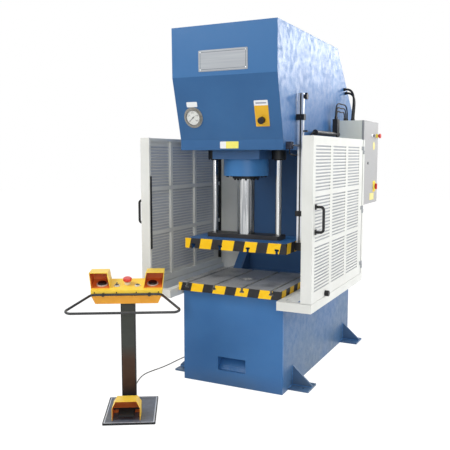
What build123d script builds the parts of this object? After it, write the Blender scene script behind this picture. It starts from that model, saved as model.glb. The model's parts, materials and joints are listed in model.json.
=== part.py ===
from build123d import *
from math import atan2, cos, pi, radians, sin, sqrt, tan
import os

os.makedirs("parts", exist_ok=True)

# Millimetres. X is the width, -Y the front, Z up.
# The origin is the middle of the four floor anchor holes, at floor level.

# Floor feet and anchors
foot_length = 151
foot_width = 178
foot_thickness = 14
gusset_height = 160
gusset_thickness = 16
gusset_toe = 12
foot_setback = 206
anchor_spacing_y = 1300
anchor_ahead_of_gusset = 45
anchor_inset = 55
anchor_hole_radius = 11

# Welded frame
frame_width = 788
base_depth = 1663
plate_thickness = 80
seat_height = 688
throat_depth = 965
throat_height = 1707
throat_chamfer = 140
lip_overhang = 25
fold_overhang = 140
head_overhang = 145
head_headroom = 262
lip_height = 69
slope_share = 0.56
rear_slope_drop = 485
front_plate_thickness = 20
cover_thickness = 6
rear_cover_thickness = 3
rear_cover_clearance = 60
vent_length = 150
vent_height = 8
vent_pitch_across = 210
vent_pitch_up = 32
vent_rows = 6
vent_drop = 420
cover_bolt_radius = 8
cover_bolt_height = 6
cover_bolt_margin = 50
web_thickness = 60
web_setback = 45
web_top_height = 1900
deck_thickness = 60
deck_bore_radius = 45

# Pocket in the base front
pocket_width = 220
pocket_height = 100
pocket_floor_height = 108
pocket_depth = 95
pocket_wall = 3

# Table with T-slots
table_width = 800
table_depth = 700
table_thickness = 60
table_overhang = 61
table_bore_radius = 30
table_counterbore_radius = 55
table_counterbore_depth = 8
slot_spacing = 220
slot_overrun = 5
slot_count = 4
slot_neck = 18
slot_neck_depth = 20
slot_head = 32
slot_head_depth = 14

# Slide, crosshead and guides
ram_setback = 245
slide_width = 794
slide_depth = 420
slide_thickness = 74
slide_gap = 241
crosshead_width = 580
crosshead_depth = 150
crosshead_thickness = 31
crosshead_corner = 12
guide_spacing = 514
guide_radius = 22
guide_length = 960
guide_chamfer = 2
guide_running_clearance = 0.08
bush_flange_radius = 52
bush_radius = 36
bush_flange_height = 64
bush_tail = 60
beam_thickness = 80
beam_reach = 700
beam_front_margin = 140

# Cylinder and ram
ram_radius = 64
barrel_radius = 165
bore_radius = 120
barrel_bottom_height = 1522
barrel_collar_height = 30
barrel_collar_width = 30
barrel_end_wall = 60
seat_pad_wall = 18
piston_height = 90
piston_clearance = 0.15
piston_end_gap = 21
stroke_up = 345
ram_length = 670
ring_groove_count = 2
ring_groove_depth = 5
ring_groove_height = 8
gland_radius = 100
gland_thickness = 22
gland_clearance = 0.3
gland_chamfer = 3
gland_bolt_count = 8
barrel_bolt_count = 12
gland_bolt_circle = 82
barrel_bolt_circle = 143
bolt_head_radius = 9
bolt_head_height = 11
fit_clearance = 0.3

# Hazard tape
tape_thickness = 1.2
stripe_thickness = 0.6
stripe_lean_width = 16
stripe_pitch = 178
stripe_width = 95
table_stripe_offset = -480
slide_stripe_offset = -460
side_stripe_pitch = 155
side_stripe_width = 76
side_stripe_setback = 12

# Stroke rail with its stops, and the limit switch beside it
rail_width = 40
rail_thickness = 22
rail_length = 1103
rail_standoff = 12
rail_setback = 228
rail_slot_width = 10
rail_slot_depth = 8
rail_foot_height = 58
rail_foot_length = 46
stop_clearance = 0.2
stop_wall_gap = 3
stop_screw_radius = 5
stop_screw_length = 8
upper_stop_rise = 917
upper_stop_height = 40
upper_stop_width = 57
upper_stop_depth = 42
lower_stop_rise = 245
lower_stop_height = 38
lower_stop_width = 55
lower_stop_depth = 40
pointer_rise = 834
pointer_length = 28
pointer_height = 12
star_knob_radius = 24
star_knob_height = 26
star_hub_share = 0.6
star_lobe_share = 0.35
star_hub_height = 9
star_lobes = 5
switch_rise = 5
switch_length = 60
switch_width = 34
switch_body_height = 50
switch_setback = 20
switch_chamfer = 8
lever_pivot_inset = 16
lever_length = 96
lever_thickness = 5
lever_height = 10
roller_radius = 9
lead_radius = 4
lead_drop = 34
lead_sag = 8
lead_wall_gap = 6
lead_bend = 28
lead_corner_radius = 16

# Hydraulics in the frame
tank_height = 780
tank_bottom_height = 140
tank_wall = 6
tank_gap = 20
motor_radius = 125
motor_height = 330
motor_setback = 1330
pump_radius = 60
pump_height = 240
pump_flange_width = 40
pump_flange_height = 15
motor_flange_width = 20
motor_flange_height = 18
cowl_height = 60
cowl_inset = 7
terminal_box_width = 110
terminal_box_reach = 70
terminal_box_height = 115
terminal_box_rise = 150
valve_width = 150
valve_depth = 120
valve_height = 160
valve_wall_gap = 30
valve_web_gap = 10
valve_port_spacing = 80
pipe_radius = 14
pipe_bend_radius = 60
press_pipe_rise = 90
return_pipe_rise = 60
return_pipe_run = 130
press_port_offset = 96

# Gauge, setting knob and plates on the head
gauge_offset = -266
gauge_share = 0.368
gauge_flange_radius = 73
gauge_flange_thickness = 4
gauge_bezel_radius = 61
gauge_bezel_height = 13
gauge_dial_radius = 54
gauge_dial_level = 6
gauge_body_radius = 45
gauge_body_depth = 48
gauge_screw_radius = 4
gauge_screw_height = 4
needle_length = 44
needle_tail = 15
needle_width = 5
needle_tip_width = 2
needle_thickness = 1.2
needle_level = 8
needle_boss_radius = 5
needle_shaft_radius = 2
needle_shaft_clearance = 0.1
needle_rest_angle = 130
setting_plate_width = 100
setting_plate_height = 176
setting_plate_offset = 257
setting_plate_share = 0.401
setting_knob_radius = 23
setting_knob_height = 34
setting_knob_rounding = 4
knob_stem_radius = 4
knob_stem_length = 18
setting_knob_share = 0.303
small_plate_thickness = 1.5
small_plate_corner = 6
name_plate_width = 368
name_plate_height = 142
name_plate_rise = 100
gauge_plate_width = 84
gauge_plate_height = 36
gauge_plate_rise = 88
lip_plate_width = 142
lip_plate_height = 48
lip_plate_offset = -7

# Electrical cabinet on the right side
cabinet_depth = 198
cabinet_width = 494
cabinet_height = 700
cabinet_bottom_height = 1258
cabinet_setback = 1222
cabinet_standoff = 8
cabinet_wall = 3
cabinet_door_thickness = 18
cabinet_door_gap = 2
cabinet_rail_height = 60
cabinet_hinge_radius = 7
cabinet_hinge_pin_radius = 4
cabinet_hinge_height = 60
cabinet_hinge_rise = 110
cabinet_hinge_leaf_width = 30
cabinet_rail_margin = 20
cabinet_rail_rise = 50
lock_radius = 11
lock_setback = 140
lock_drop = 4
lock_stem_radius = 8
lock_thickness = 8
lock_slot_width = 3
lock_slot_length = 14
lock_slot_depth = 4
switch_plate_width = 76
switch_plate_height = 96
switch_plate_thickness = 2
switch_knob_radius = 24
switch_base_height = 12
switch_grip_height = 16
switch_grip_width = 14
main_switch_margin = 119
main_switch_rise = 141
shaft_radius = 4
shaft_clearance = 0.1
cabinet_stop_margin = 69
cabinet_stop_drop = 118
cabinet_lamp_radius = 11
cabinet_lamp_height = 12
cabinet_lamp_margin = 186
cabinet_lamp_spacing = 58
button_neck_radius = 11
button_cap_radius = 20
button_cap_height = 16
button_cap_rounding = 4
button_travel = 5
button_lift_gap = 3
cabinet_collar_length = 18
cabinet_collar_width = 5

# Cable trunk and conduits on the right side
trunk_radius = 17
trunk_standoff = 35
trunk_setback = 480
trunk_length = 570
trunk_drop = 121
trunk_cap_length = 20
trunk_cap_margin = 4
trunk_bracket_setback = 90
trunk_bracket_length = 24
trunk_bracket_height = 20
junction_length = 60
junction_width = 40
conduit_radius = 5
conduit_start_gap = 14
conduit_start_pitch = 16
conduit_landing_setback = 1324
conduit_landing_pitch = 42
conduit_rise = 128
conduit_rise_pitch = 33
conduit_gland_height = 20
conduit_gland_wall = 3
main_conduit_radius = 9
main_conduit_setback = 1380
main_conduit_spacing = 40
main_conduit_share = 0.71
main_conduit_reach = 80

# Side guards
guard_half_width = 651
guard_overhang = 165
guard_depth = 1230
guard_seat_gap = 20
guard_height = 1087
guard_sheet = 3
guard_flange_width = 74
guard_lip = 22
guard_channel = 34
guard_rib_width = 30
guard_rib_depth = 16
guard_rail_height = 42
window_height = 10
window_rows = 14
window_groups = 3
window_columns = 3
window_group_gap = 34
window_column_gap = 59
window_top_margin = 60
window_bottom_margin = 71
window_front_margin = 55
window_back_margin = 103
guard_frame_tube = 44
guard_frame_height = 60
guard_frame_gap = 3
guard_frame_offset = 16
guard_bracket_setback = 80
guard_bracket_spacing = 540
guard_bracket_length = 60
guard_bracket_margin = 4
rear_panel_thickness = 3
hinge_radius = 9
hinge_pin_radius = 5
hinge_height = 60
hinge_leaf = 3
hinge_leaf_reach = 34
hinge_clearance = 0.3
hinge_gap = 1
hinge_sink = 1
low_hinge_rise = 75
high_hinge_drop = 85
middle_hinge_drop = 16
handle_radius = 9
handle_height = 164
handle_reach = 56
handle_bend = 20
handle_rise = 467
handle_margin = 60
latch_radius = 20
latch_height = 30
latch_rounding = 5
latch_setback = 130
guard_hole_rise = 850
guard_hole_radius = 5

# Control stand, turned towards the operator
stand_side_offset = -390
stand_front_offset = -1508
stand_turn = 30
stand_plate_width = 330
stand_plate_depth = 440
stand_plate_thickness = 12
stand_plate_corner = 6
stand_offset = -28
post_width = 95
post_depth = 60
post_wall = 4
post_back_margin = 15
console_width = 464
console_taper = 27
console_depth = 180
console_bottom_height = 700
console_lower_height = 62
console_front_height = 32
console_back_height = 74
console_wall = 4
console_ahead = 75
shroud_width = 130
shroud_flare = 14
shroud_lean = 24
shroud_height = 110
shroud_depth = 150
palm_radius = 30
palm_height = 18
palm_rounding = 7
palm_ring_radius = 37
palm_ring_height = 6
console_stop_radius = 29
console_stop_collar = 20
console_stop_height = 47
console_stop_rounding = 7
stop_collar_height = 20
selector_spacing = 136
selector_radius = 13
selector_bezel = 19
selector_bezel_height = 4
selector_height = 9
selector_grip_width = 8
selector_grip_height = 11
ring_radius = 8
ring_outer_width = 742
ring_reach = 285
ring_drop = 52
ring_corner = 38
ring_inset = 6
ring_boss_radius = 12
ring_boss_margin = 4
deck_middle_share = 0.5
selector_share = 0.36

# Foot pedal on the stand's plate
hood_width = 178
hood_front_height = 126
hood_back_height = 112
hood_length = 132
hood_shoulder = 78
hood_crown_width = 132
hood_crown_inset_share = 0.6
hood_wall = 3.5
hood_front_margin = 40
pedal_offset = -20
pedal_width = 104
pedal_length = 88
pedal_hinge_setback = 92
pedal_hinge_height = 42
pedal_thickness = 10
pedal_slope = 12
pedal_hinge_radius = 5

# Cable between the stand and the frame
cable_radius = 4
cable_clearance = 0.2
cable_straight = 62
cable_gland_radius = 11
cable_gland_length = 24
post_gland_height = 42
frame_gland_height = 40
frame_gland_setback = 1180

# Places that follow from the sizes
half_width = frame_width / 2
inner_half = half_width - plate_thickness
front_y = -(foot_setback - anchor_ahead_of_gusset + anchor_spacing_y / 2)
rear_y = front_y + base_depth
ram_y = front_y + ram_setback
web_y = front_y + throat_depth + web_setback
lip_y = front_y - lip_overhang
fold_y = front_y - fold_overhang
head_y = front_y - head_overhang
table_top = seat_height + table_thickness
slide_bottom = table_top + slide_gap
slide_top = slide_bottom + slide_thickness
crosshead_top = slide_top + crosshead_thickness
piston_top = crosshead_top + ram_length + piston_height
barrel_top_height = piston_top + stroke_up + piston_end_gap + barrel_end_wall
head_height = barrel_top_height + head_headroom
lower_fold_height = throat_height + lip_height
slope_rise = slope_share * (head_height - lower_fold_height)
upper_fold_height = lower_fold_height + slope_rise
rear_bend_height = head_height - rear_slope_drop
rear_slope_inset = rear_cover_thickness * sqrt(2)
rear_slope_sum = rear_y + rear_bend_height
slope_angle = atan2(fold_overhang - lip_overhang, slope_rise)


def save(name, shape):
    export_step(shape, f"parts/{name}.step")


def block(x, y, z):
    # A box between the two limits on each axis.
    size = (x[1] - x[0], y[1] - y[0], z[1] - z[0])
    return Pos(x[0], y[0], z[0]) * Box(*size, align=(Align.MIN, Align.MIN, Align.MIN))


def bar(start, end, radius):
    # A round bar between two points.
    axis = Vector(*end) - Vector(*start)
    base = Align.CENTER, Align.CENTER, Align.MIN
    return Plane(origin=start, z_dir=axis) * Cylinder(radius, axis.length, align=base)


def disc(place, low, high, radius):
    # A round disc between two levels above a plane or place.
    base = Align.CENTER, Align.CENTER, Align.MIN
    return place * Pos(0, 0, low) * Cylinder(radius, high - low, align=base)


def side_profile(points, x):
    # A plate whose outline is drawn on the side view, as (Y, Z) points.
    face = Plane.YZ * make_face(Polyline(*points, close=True))
    return Pos(x[0], 0, 0) * extrude(face, x[1] - x[0], dir=(1, 0, 0))


def front_profile(points, y):
    # A plate whose outline is drawn on the front view, as (X, Z) points.
    wire = Polyline(*[(px, 0, pz) for px, pz in points], close=True)
    return Pos(0, y[0], 0) * extrude(make_face(wire), y[1] - y[0], dir=(0, 1, 0))


def swept_tube(path, radius):
    # A round section carried along a path of lines and arcs.
    start = Plane(origin=path @ 0, z_dir=path % 0)
    return sweep(start * Circle(radius), path=path)


def bend_radii(points):
    # The largest arc that each corner's two runs allow.
    vectors = [Vector(*p) for p in points]
    radii = []
    for before, corner, after in zip(vectors, vectors[1:], vectors[2:]):
        turn = (corner - before).get_angle(after - corner)
        run = min((corner - before).length, (after - corner).length)
        radii.append(0.45 * run / tan(radians(turn) / 2))
    return radii


def both_sides(shape):
    return mirror(shape, about=Plane.YZ)


def slope_plane(across, share):
    # A plane on the sloped front at a share of its height: X across, Y up the slope, Z outwards.
    y = lip_y + share * (fold_y - lip_y)
    z = lower_fold_height + share * slope_rise
    return Plane(origin=(across, y, z), x_dir=(1, 0, 0), z_dir=(0, -cos(slope_angle), -sin(slope_angle)))


# Side plates with their feet
def side_plate():
    top = head_height - cover_thickness
    back = rear_y - rear_cover_thickness
    slope = rear_slope_sum - rear_slope_inset
    outline = [
        (front_y + front_plate_thickness, 0),
        (back, 0),
        (back, slope - back),
        (slope - top, top),
        (head_y + cover_thickness, top),
        (fold_y + cover_thickness, upper_fold_height),
        (lip_y + cover_thickness, lower_fold_height),
        (lip_y + cover_thickness, throat_height),
        (front_y + throat_depth - throat_chamfer, throat_height),
        (front_y + throat_depth, throat_height - throat_chamfer),
        (front_y + throat_depth, seat_height + throat_chamfer),
        (front_y + throat_depth - throat_chamfer, seat_height),
        (front_y + front_plate_thickness, seat_height),
    ]
    plate = side_profile(outline, (inner_half, half_width))
    toe = half_width + foot_length
    for gusset_y in (front_y + foot_setback, front_y + foot_setback + anchor_spacing_y):
        half = foot_width / 2
        foot = block((half_width, toe), (gusset_y - half, gusset_y + half), (0, foot_thickness))
        web = [
            (half_width, foot_thickness),
            (toe, foot_thickness),
            (toe, foot_thickness + gusset_toe),
            (half_width, gusset_height),
        ]
        rib = gusset_thickness / 2
        gusset = front_profile(web, (gusset_y - rib, gusset_y + rib))
        hole_y = gusset_y - anchor_ahead_of_gusset
        hole = bar((toe - anchor_inset, hole_y, 0), (toe - anchor_inset, hole_y, foot_thickness),
                   anchor_hole_radius)
        plate += foot - hole + gusset
    return plate


right_plate = side_plate()
save("right_side_plate", right_plate)
save("left_side_plate", both_sides(right_plate))


# Base front with its pocket
def base_front():
    pocket_x = (-pocket_width / 2, pocket_width / 2)
    plate_y = (front_y, front_y + front_plate_thickness)
    plate = block((-half_width, half_width), plate_y, (0, seat_height))
    floor = pocket_floor_height
    top = floor + pocket_height
    back = front_y + pocket_depth
    hollow = [(front_y, floor), (plate_y[1], floor), (back, top - 2 * pocket_wall), (back, top),
              (front_y, top)]
    liner = [(plate_y[1], floor - pocket_wall), (back + pocket_wall, top - 3 * pocket_wall),
             (back + pocket_wall, top + pocket_wall), (plate_y[1], top + pocket_wall)]
    liner_x = (pocket_x[0] - pocket_wall, pocket_x[1] + pocket_wall)
    return plate + side_profile(liner, liner_x) - side_profile(hollow, pocket_x)


save("base_front_plate", base_front())

# Deck under the table, and the web that closes the throat
deck = block((-inner_half, inner_half), (front_y + front_plate_thickness, web_y),
             (seat_height - deck_thickness, seat_height))
deck -= bar((0, ram_y, 0), (0, ram_y, seat_height), deck_bore_radius)
save("table_deck", deck)
web = block((-inner_half, inner_half), (web_y, web_y + web_thickness), (0, web_top_height))
save("column_web", web)


# Beam that carries the cylinder, with a pad round the barrel
def cylinder_beam():
    beam_y = (ram_y - beam_front_margin, ram_y - beam_front_margin + beam_reach)
    beam = block((-inner_half, inner_half), beam_y, (throat_height, throat_height + beam_thickness))
    half = barrel_radius + seat_pad_wall
    pad_z = (throat_height - bush_flange_height, throat_height)
    beam += block((-half, half), (ram_y - half, ram_y + half), pad_z)
    top = throat_height + beam_thickness
    beam -= bar((0, ram_y, pad_z[0]), (0, ram_y, top), barrel_radius + fit_clearance)
    for x in (-guide_spacing / 2, guide_spacing / 2):
        beam -= bar((x, ram_y, pad_z[0]), (x, ram_y, top), bush_radius + fit_clearance)
    return beam


save("cylinder_beam", cylinder_beam())


# Guide bushes with their flanges under the beam
def guide_bush(x):
    top = throat_height + beam_thickness + bush_tail
    bottom = throat_height - bush_flange_height
    bush = bar((x, ram_y, bottom), (x, ram_y, throat_height), bush_flange_radius)
    bush += bar((x, ram_y, throat_height), (x, ram_y, top), bush_radius)
    bore = guide_radius + guide_running_clearance
    return bush - bar((x, ram_y, bottom), (x, ram_y, top), bore)


bushes = [guide_bush(side * guide_spacing / 2) for side in (-1, 1)]
save("guide_bushes", Compound(bushes))


# Head cover, folded in one sheet over the front and top
def head_cover():
    t = cover_thickness
    corner = rear_slope_sum - head_height
    outer = [(lip_y, throat_height), (lip_y, lower_fold_height), (fold_y, upper_fold_height),
             (head_y, head_height), (corner, head_height)]
    inner = [(corner + t, head_height - t), (head_y + t, head_height - t),
             (fold_y + t, upper_fold_height), (lip_y + t, lower_fold_height),
             (lip_y + t, throat_height)]
    cover = side_profile(outer + inner, (-half_width, half_width))
    for plane, radius in ((slope_plane(gauge_offset, gauge_share), gauge_body_radius),
                          (slope_plane(setting_plate_offset, setting_knob_share), knob_stem_radius)):
        cover -= plane * Cylinder(radius + fit_clearance, 4 * t)
    return cover


save("head_cover", head_cover())


# Rear cover over the column and the slope behind the head
def rear_cover():
    t = rear_cover_thickness
    top = head_height - cover_thickness
    inner_sum = rear_slope_sum - rear_slope_inset
    outline = [
        (rear_y, rear_cover_clearance),
        (rear_y, rear_bend_height),
        (rear_slope_sum - top, top),
        (inner_sum - top, top),
        (rear_y - t, inner_sum - rear_y + t),
        (rear_y - t, rear_cover_clearance),
    ]
    cover = side_profile(outline, (-half_width, half_width))
    for column in (-1, 0, 1):
        for row in range(vent_rows):
            x = column * vent_pitch_across
            z = rear_bend_height - vent_drop + row * vent_pitch_up
            x_range = (x - vent_length / 2, x + vent_length / 2)
            cover -= block(x_range, (rear_y - t, rear_y), (z, z + vent_height))
    return cover


save("rear_cover", rear_cover())


# T-slots are cut along Y from a face at z, opening up or down
def t_slots(y, z, direction):
    cuts = []
    for index in range(slot_count):
        x = (index - (slot_count - 1) / 2) * slot_spacing
        neck_end = z - direction * slot_neck_depth
        head_end = neck_end - direction * slot_head_depth
        for half, start, end in ((slot_neck / 2, z, neck_end), (slot_head / 2, neck_end, head_end)):
            cuts.append(block((x - half, x + half), y, (min(start, end), max(start, end))))
    return cuts


# Table
table_y = (front_y - table_overhang, front_y - table_overhang + table_depth)
table_half = table_width / 2
table_cuts = t_slots((table_y[0] - slot_overrun, table_y[1] + slot_overrun), table_top, 1)
table = block((-table_half, table_half), table_y, (seat_height, table_top))
for cut in table_cuts:
    table -= cut
table -= bar((0, ram_y, seat_height), (0, ram_y, table_top), table_bore_radius)
table -= bar((0, ram_y, table_top - table_counterbore_depth), (0, ram_y, table_top),
             table_counterbore_radius)
save("table", table)


# Tape along the front and both sides of a plate, with its slots left open
def tape_band(half, y, z, cuts):
    t = tape_thickness
    band = block((-half - t, half + t), (y[0] - t, y[1]), z)
    band -= block((-half, half), (y[0], y[1] + t), z)
    for cut in cuts:
        band -= cut
    return band


# Leaning yellow fields on the tape's front and sides
def tape_stripes(half, y, z, start, cuts):
    low, high = z
    outer_y = y[0] - tape_thickness
    outer_x = half + tape_thickness
    lean = stripe_lean_width
    fields = []
    x = start
    while x < outer_x:
        left = max(x, -outer_x)
        right = min(x + stripe_width, outer_x)
        if right - left > lean / 2:
            corners = [(left, low), (right, low), (min(x + stripe_width + lean, outer_x), high),
                       (max(x + lean, -outer_x), high)]
            fields.append(front_profile(corners, (outer_y - stripe_thickness, outer_y)))
        x += stripe_pitch
    width = side_stripe_width
    side_y = outer_y + side_stripe_setback
    while side_y + width + lean < y[1]:
        corners = [(side_y, low), (side_y + width, low), (side_y + width + lean, high), (side_y + lean, high)]
        field = side_profile(corners, (outer_x, outer_x + stripe_thickness))
        fields += [field, both_sides(field)]
        side_y += side_stripe_pitch
    for cut in cuts:
        fields = [field - cut for field in fields]
    return Compound([solid for field in fields for solid in field.solids()])


save("table_tape", tape_band(table_half, table_y, (seat_height, table_top), table_cuts))
save("table_stripes", tape_stripes(table_half, table_y, (seat_height, table_top), table_stripe_offset,
                                   table_cuts))

# Slide with T-slots in its underside
slide_y = (ram_y - slide_depth / 2, ram_y + slide_depth / 2)
slide_half = slide_width / 2
slide_cuts = t_slots((slide_y[0] - slot_overrun, slide_y[1] + slot_overrun), slide_bottom, -1)
slide = block((-slide_half, slide_half), slide_y, (slide_bottom, slide_top))
for cut in slide_cuts:
    slide -= cut
save("slide", slide)

# Foot of the stroke rail on the slide's right side
rail_foot_z = slide_bottom + (slide_thickness - rail_foot_height) / 2
rail_foot_middle = front_y + rail_setback
rail_foot = block((slide_half + tape_thickness, half_width + rail_standoff + rail_width),
                  (rail_foot_middle - rail_foot_length / 2, rail_foot_middle + rail_foot_length / 2),
                  (rail_foot_z, rail_foot_z + rail_foot_height))
save("slide_tape", tape_band(slide_half, slide_y, (slide_bottom, slide_top), slide_cuts))
save("slide_stripes", tape_stripes(slide_half, slide_y, (slide_bottom, slide_top), slide_stripe_offset,
                                   slide_cuts + [rail_foot]))

# Crosshead that joins the ram and the guide rods to the slide
crosshead = block((-crosshead_width / 2, crosshead_width / 2),
                  (ram_y - crosshead_depth / 2, ram_y + crosshead_depth / 2),
                  (slide_top, crosshead_top))
crosshead = chamfer(crosshead.edges().filter_by(Axis.Z), crosshead_corner)
save("crosshead", crosshead)


# Guide rods
def guide_rod(x):
    rod = bar((x, ram_y, crosshead_top), (x, ram_y, crosshead_top + guide_length), guide_radius)
    return chamfer(rod.edges().group_by(Axis.Z)[-1], guide_chamfer)


save("right_guide_rod", guide_rod(guide_spacing / 2))
save("left_guide_rod", guide_rod(-guide_spacing / 2))


# Ram with its piston
def ram():
    rod_top = crosshead_top + ram_length
    shape = bar((0, ram_y, crosshead_top), (0, ram_y, rod_top), ram_radius)
    radius = bore_radius - piston_clearance
    shape += bar((0, ram_y, rod_top), (0, ram_y, rod_top + piston_height), radius)
    for index in range(ring_groove_count):
        z = rod_top + (index + 0.5) * piston_height / ring_groove_count - ring_groove_height / 2
        groove = bar((0, ram_y, z), (0, ram_y, z + ring_groove_height), radius)
        core = bar((0, ram_y, z), (0, ram_y, z + ring_groove_height), radius - ring_groove_depth)
        shape -= groove - core
    return shape


save("ram", ram())

# Cylinder barrel with closed top
bore_bottom = barrel_bottom_height + barrel_end_wall
barrel = bar((0, ram_y, barrel_bottom_height), (0, ram_y, barrel_top_height), barrel_radius)
barrel -= bar((0, ram_y, bore_bottom), (0, ram_y, barrel_top_height - barrel_end_wall), bore_radius)
barrel -= bar((0, ram_y, barrel_bottom_height), (0, ram_y, bore_bottom), ram_radius + gland_clearance)
collar_z = throat_height + beam_thickness
collar = bar((0, ram_y, collar_z), (0, ram_y, collar_z + barrel_collar_height),
             barrel_radius + barrel_collar_width)
barrel += collar - bar((0, ram_y, collar_z), (0, ram_y, collar_z + barrel_collar_height), bore_radius)
save("cylinder_barrel", barrel)

# Gland ring under the barrel
gland_bottom = barrel_bottom_height - gland_thickness
gland = bar((0, ram_y, gland_bottom), (0, ram_y, barrel_bottom_height), gland_radius)
gland -= bar((0, ram_y, gland_bottom), (0, ram_y, barrel_bottom_height), ram_radius + gland_clearance)
gland = chamfer(gland.edges().group_by(Axis.Z)[0].filter_by(GeomType.CIRCLE), gland_chamfer)
save("gland_ring", gland)


# Bolt heads under the gland ring, under the barrel and on the covers
def bolt_ring(circle, count, z):
    heads = []
    for index in range(count):
        angle = 2 * pi * (index + 0.5) / count
        x = circle * cos(angle)
        y = ram_y + circle * sin(angle)
        head = Pos(x, y, z - bolt_head_height) * extrude(RegularPolygon(bolt_head_radius, 6),
                                                       bolt_head_height)
        heads.append(head)
    return heads


bolts = bolt_ring(gland_bolt_circle, gland_bolt_count, gland_bottom)
bolts += bolt_ring(barrel_bolt_circle, barrel_bolt_count, barrel_bottom_height)
for side in (-1, 1):
    low = rear_cover_clearance + cover_bolt_margin
    high = rear_bend_height - cover_bolt_margin
    for z in (low, (low + high) / 2, high):
        x = side * (half_width - plate_thickness / 2)
        bolts.append(bar((x, rear_y, z), (x, rear_y + cover_bolt_height, z), cover_bolt_radius))
save("machine_bolts", Compound(bolts))

# Rail that rises with the slide, on a foot welded to its lower end
rail_x = (half_width + rail_standoff, half_width + rail_standoff + rail_width)
rail_y = (front_y + rail_setback - rail_thickness / 2, front_y + rail_setback + rail_thickness / 2)
rail_bottom = rail_foot_z


def stroke_rail():
    rail = block(rail_x, rail_y, (rail_bottom, rail_bottom + rail_length))
    middle = (rail_x[0] + rail_x[1]) / 2
    slot_x = (middle - rail_slot_width / 2, middle + rail_slot_width / 2)
    slot_z = (rail_bottom + rail_foot_height, rail_bottom + rail_length)
    rail -= block(slot_x, (rail_y[0], rail_y[0] + rail_slot_depth), slot_z)
    return rail + rail_foot


save("stroke_rail", stroke_rail())


# A stop is a sleeve on the rail with a clamp screw in front
def rail_stop(rise, height, width, depth):
    inner_x = half_width + stop_wall_gap
    middle_y = front_y + rail_setback
    z = (rail_bottom + rise, rail_bottom + rise + height)
    sleeve = block((inner_x, inner_x + width), (middle_y - depth / 2, middle_y + depth / 2), z)
    c = stop_clearance
    sleeve -= block((rail_x[0] - c, rail_x[1] + c), (rail_y[0] - c, rail_y[1] + c), z)
    screw_x = (rail_x[0] + rail_x[1]) / 2
    screw_z = (z[0] + z[1]) / 2
    start = middle_y - depth / 2
    return sleeve + bar((screw_x, start, screw_z), (screw_x, start - stop_screw_length, screw_z),
                        stop_screw_radius)


# Star knob on the rail's outer face, near its top
def star_knob():
    z = rail_bottom + rail_length - star_knob_radius
    y = front_y + rail_setback
    x = (rail_x[1], rail_x[1] + star_knob_height)
    core_radius = star_knob_radius * star_hub_share
    lobe_radius = star_knob_radius * star_lobe_share
    knob = bar((x[0], y, z), (x[1], y, z), core_radius)
    for index in range(star_lobes):
        angle = 2 * pi * index / star_lobes
        lobe_y = y + (star_knob_radius - lobe_radius) * sin(angle)
        lobe_z = z + (star_knob_radius - lobe_radius) * cos(angle)
        knob += bar((x[0] + star_hub_height, lobe_y, lobe_z), (x[1], lobe_y, lobe_z), lobe_radius)
    return knob


def rail_pointer():
    y = front_y + rail_setback
    z = rail_bottom + pointer_rise
    half = rail_thickness / 2
    return block((rail_x[1], rail_x[1] + pointer_length), (y - half, y + half), (z, z + pointer_height))


stops = [
    rail_stop(upper_stop_rise, upper_stop_height, upper_stop_width, upper_stop_depth),
    rail_stop(lower_stop_rise, lower_stop_height, lower_stop_width, lower_stop_depth),
    star_knob(),
    rail_pointer(),
]
save("stroke_stops", Compound(stops))

# Limit switch on the right side plate, with its roller lever
switch_y = (front_y + switch_setback, front_y + switch_setback + switch_length)
switch_z = (throat_height + switch_rise, throat_height + switch_rise + switch_body_height)
pivot_y = switch_y[1] - lever_pivot_inset
pivot_z = (switch_z[0] + switch_z[1]) / 2
pivot_x = half_width + switch_width
limit_switch = block((half_width, pivot_x), switch_y, switch_z)
limit_switch = chamfer(limit_switch.edges().filter_by(Axis.X), switch_chamfer)
limit_switch += bar((pivot_x, pivot_y, pivot_z), (pivot_x + 2 * lever_thickness, pivot_y, pivot_z),
                    shaft_radius)
save("limit_switch", limit_switch)


def switch_lever():
    x = pivot_x + fit_clearance
    end_y = pivot_y + lever_length
    hub = bar((x, pivot_y, pivot_z), (x + lever_thickness, pivot_y, pivot_z), 2 * shaft_radius)
    half = lever_height / 2
    arm = block((x, x + lever_thickness), (pivot_y, end_y), (pivot_z - half, pivot_z + half))
    roller = bar((x, end_y, pivot_z), (x + 2 * lever_thickness, end_y, pivot_z), roller_radius)
    bore = bar((x, pivot_y, pivot_z), (x + lever_thickness, pivot_y, pivot_z),
               shaft_radius + shaft_clearance)
    return hub + arm + roller - bore


save("switch_lever", switch_lever())

# Oil tank in the column, with the pump hanging in it and the motor on its lid
tank_y = (web_y + web_thickness + tank_gap, rear_y - rear_cover_thickness - tank_gap)
tank_top = tank_bottom_height + tank_height
motor_y = front_y + motor_setback
tank = block((-inner_half, inner_half), tank_y, (tank_bottom_height, tank_top))
tank -= block((-inner_half + tank_wall, inner_half - tank_wall),
              (tank_y[0] + tank_wall, tank_y[1] - tank_wall),
              (tank_bottom_height + tank_wall, tank_top - tank_wall))
tank -= bar((0, motor_y, tank_top - tank_wall), (0, motor_y, tank_top), pump_radius + fit_clearance)
save("oil_tank", tank)

pump = bar((0, motor_y, tank_top - pump_height), (0, motor_y, tank_top), pump_radius)
pump += bar((0, motor_y, tank_top), (0, motor_y, tank_top + pump_flange_height),
            pump_radius + pump_flange_width)
save("oil_pump", pump)


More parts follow.
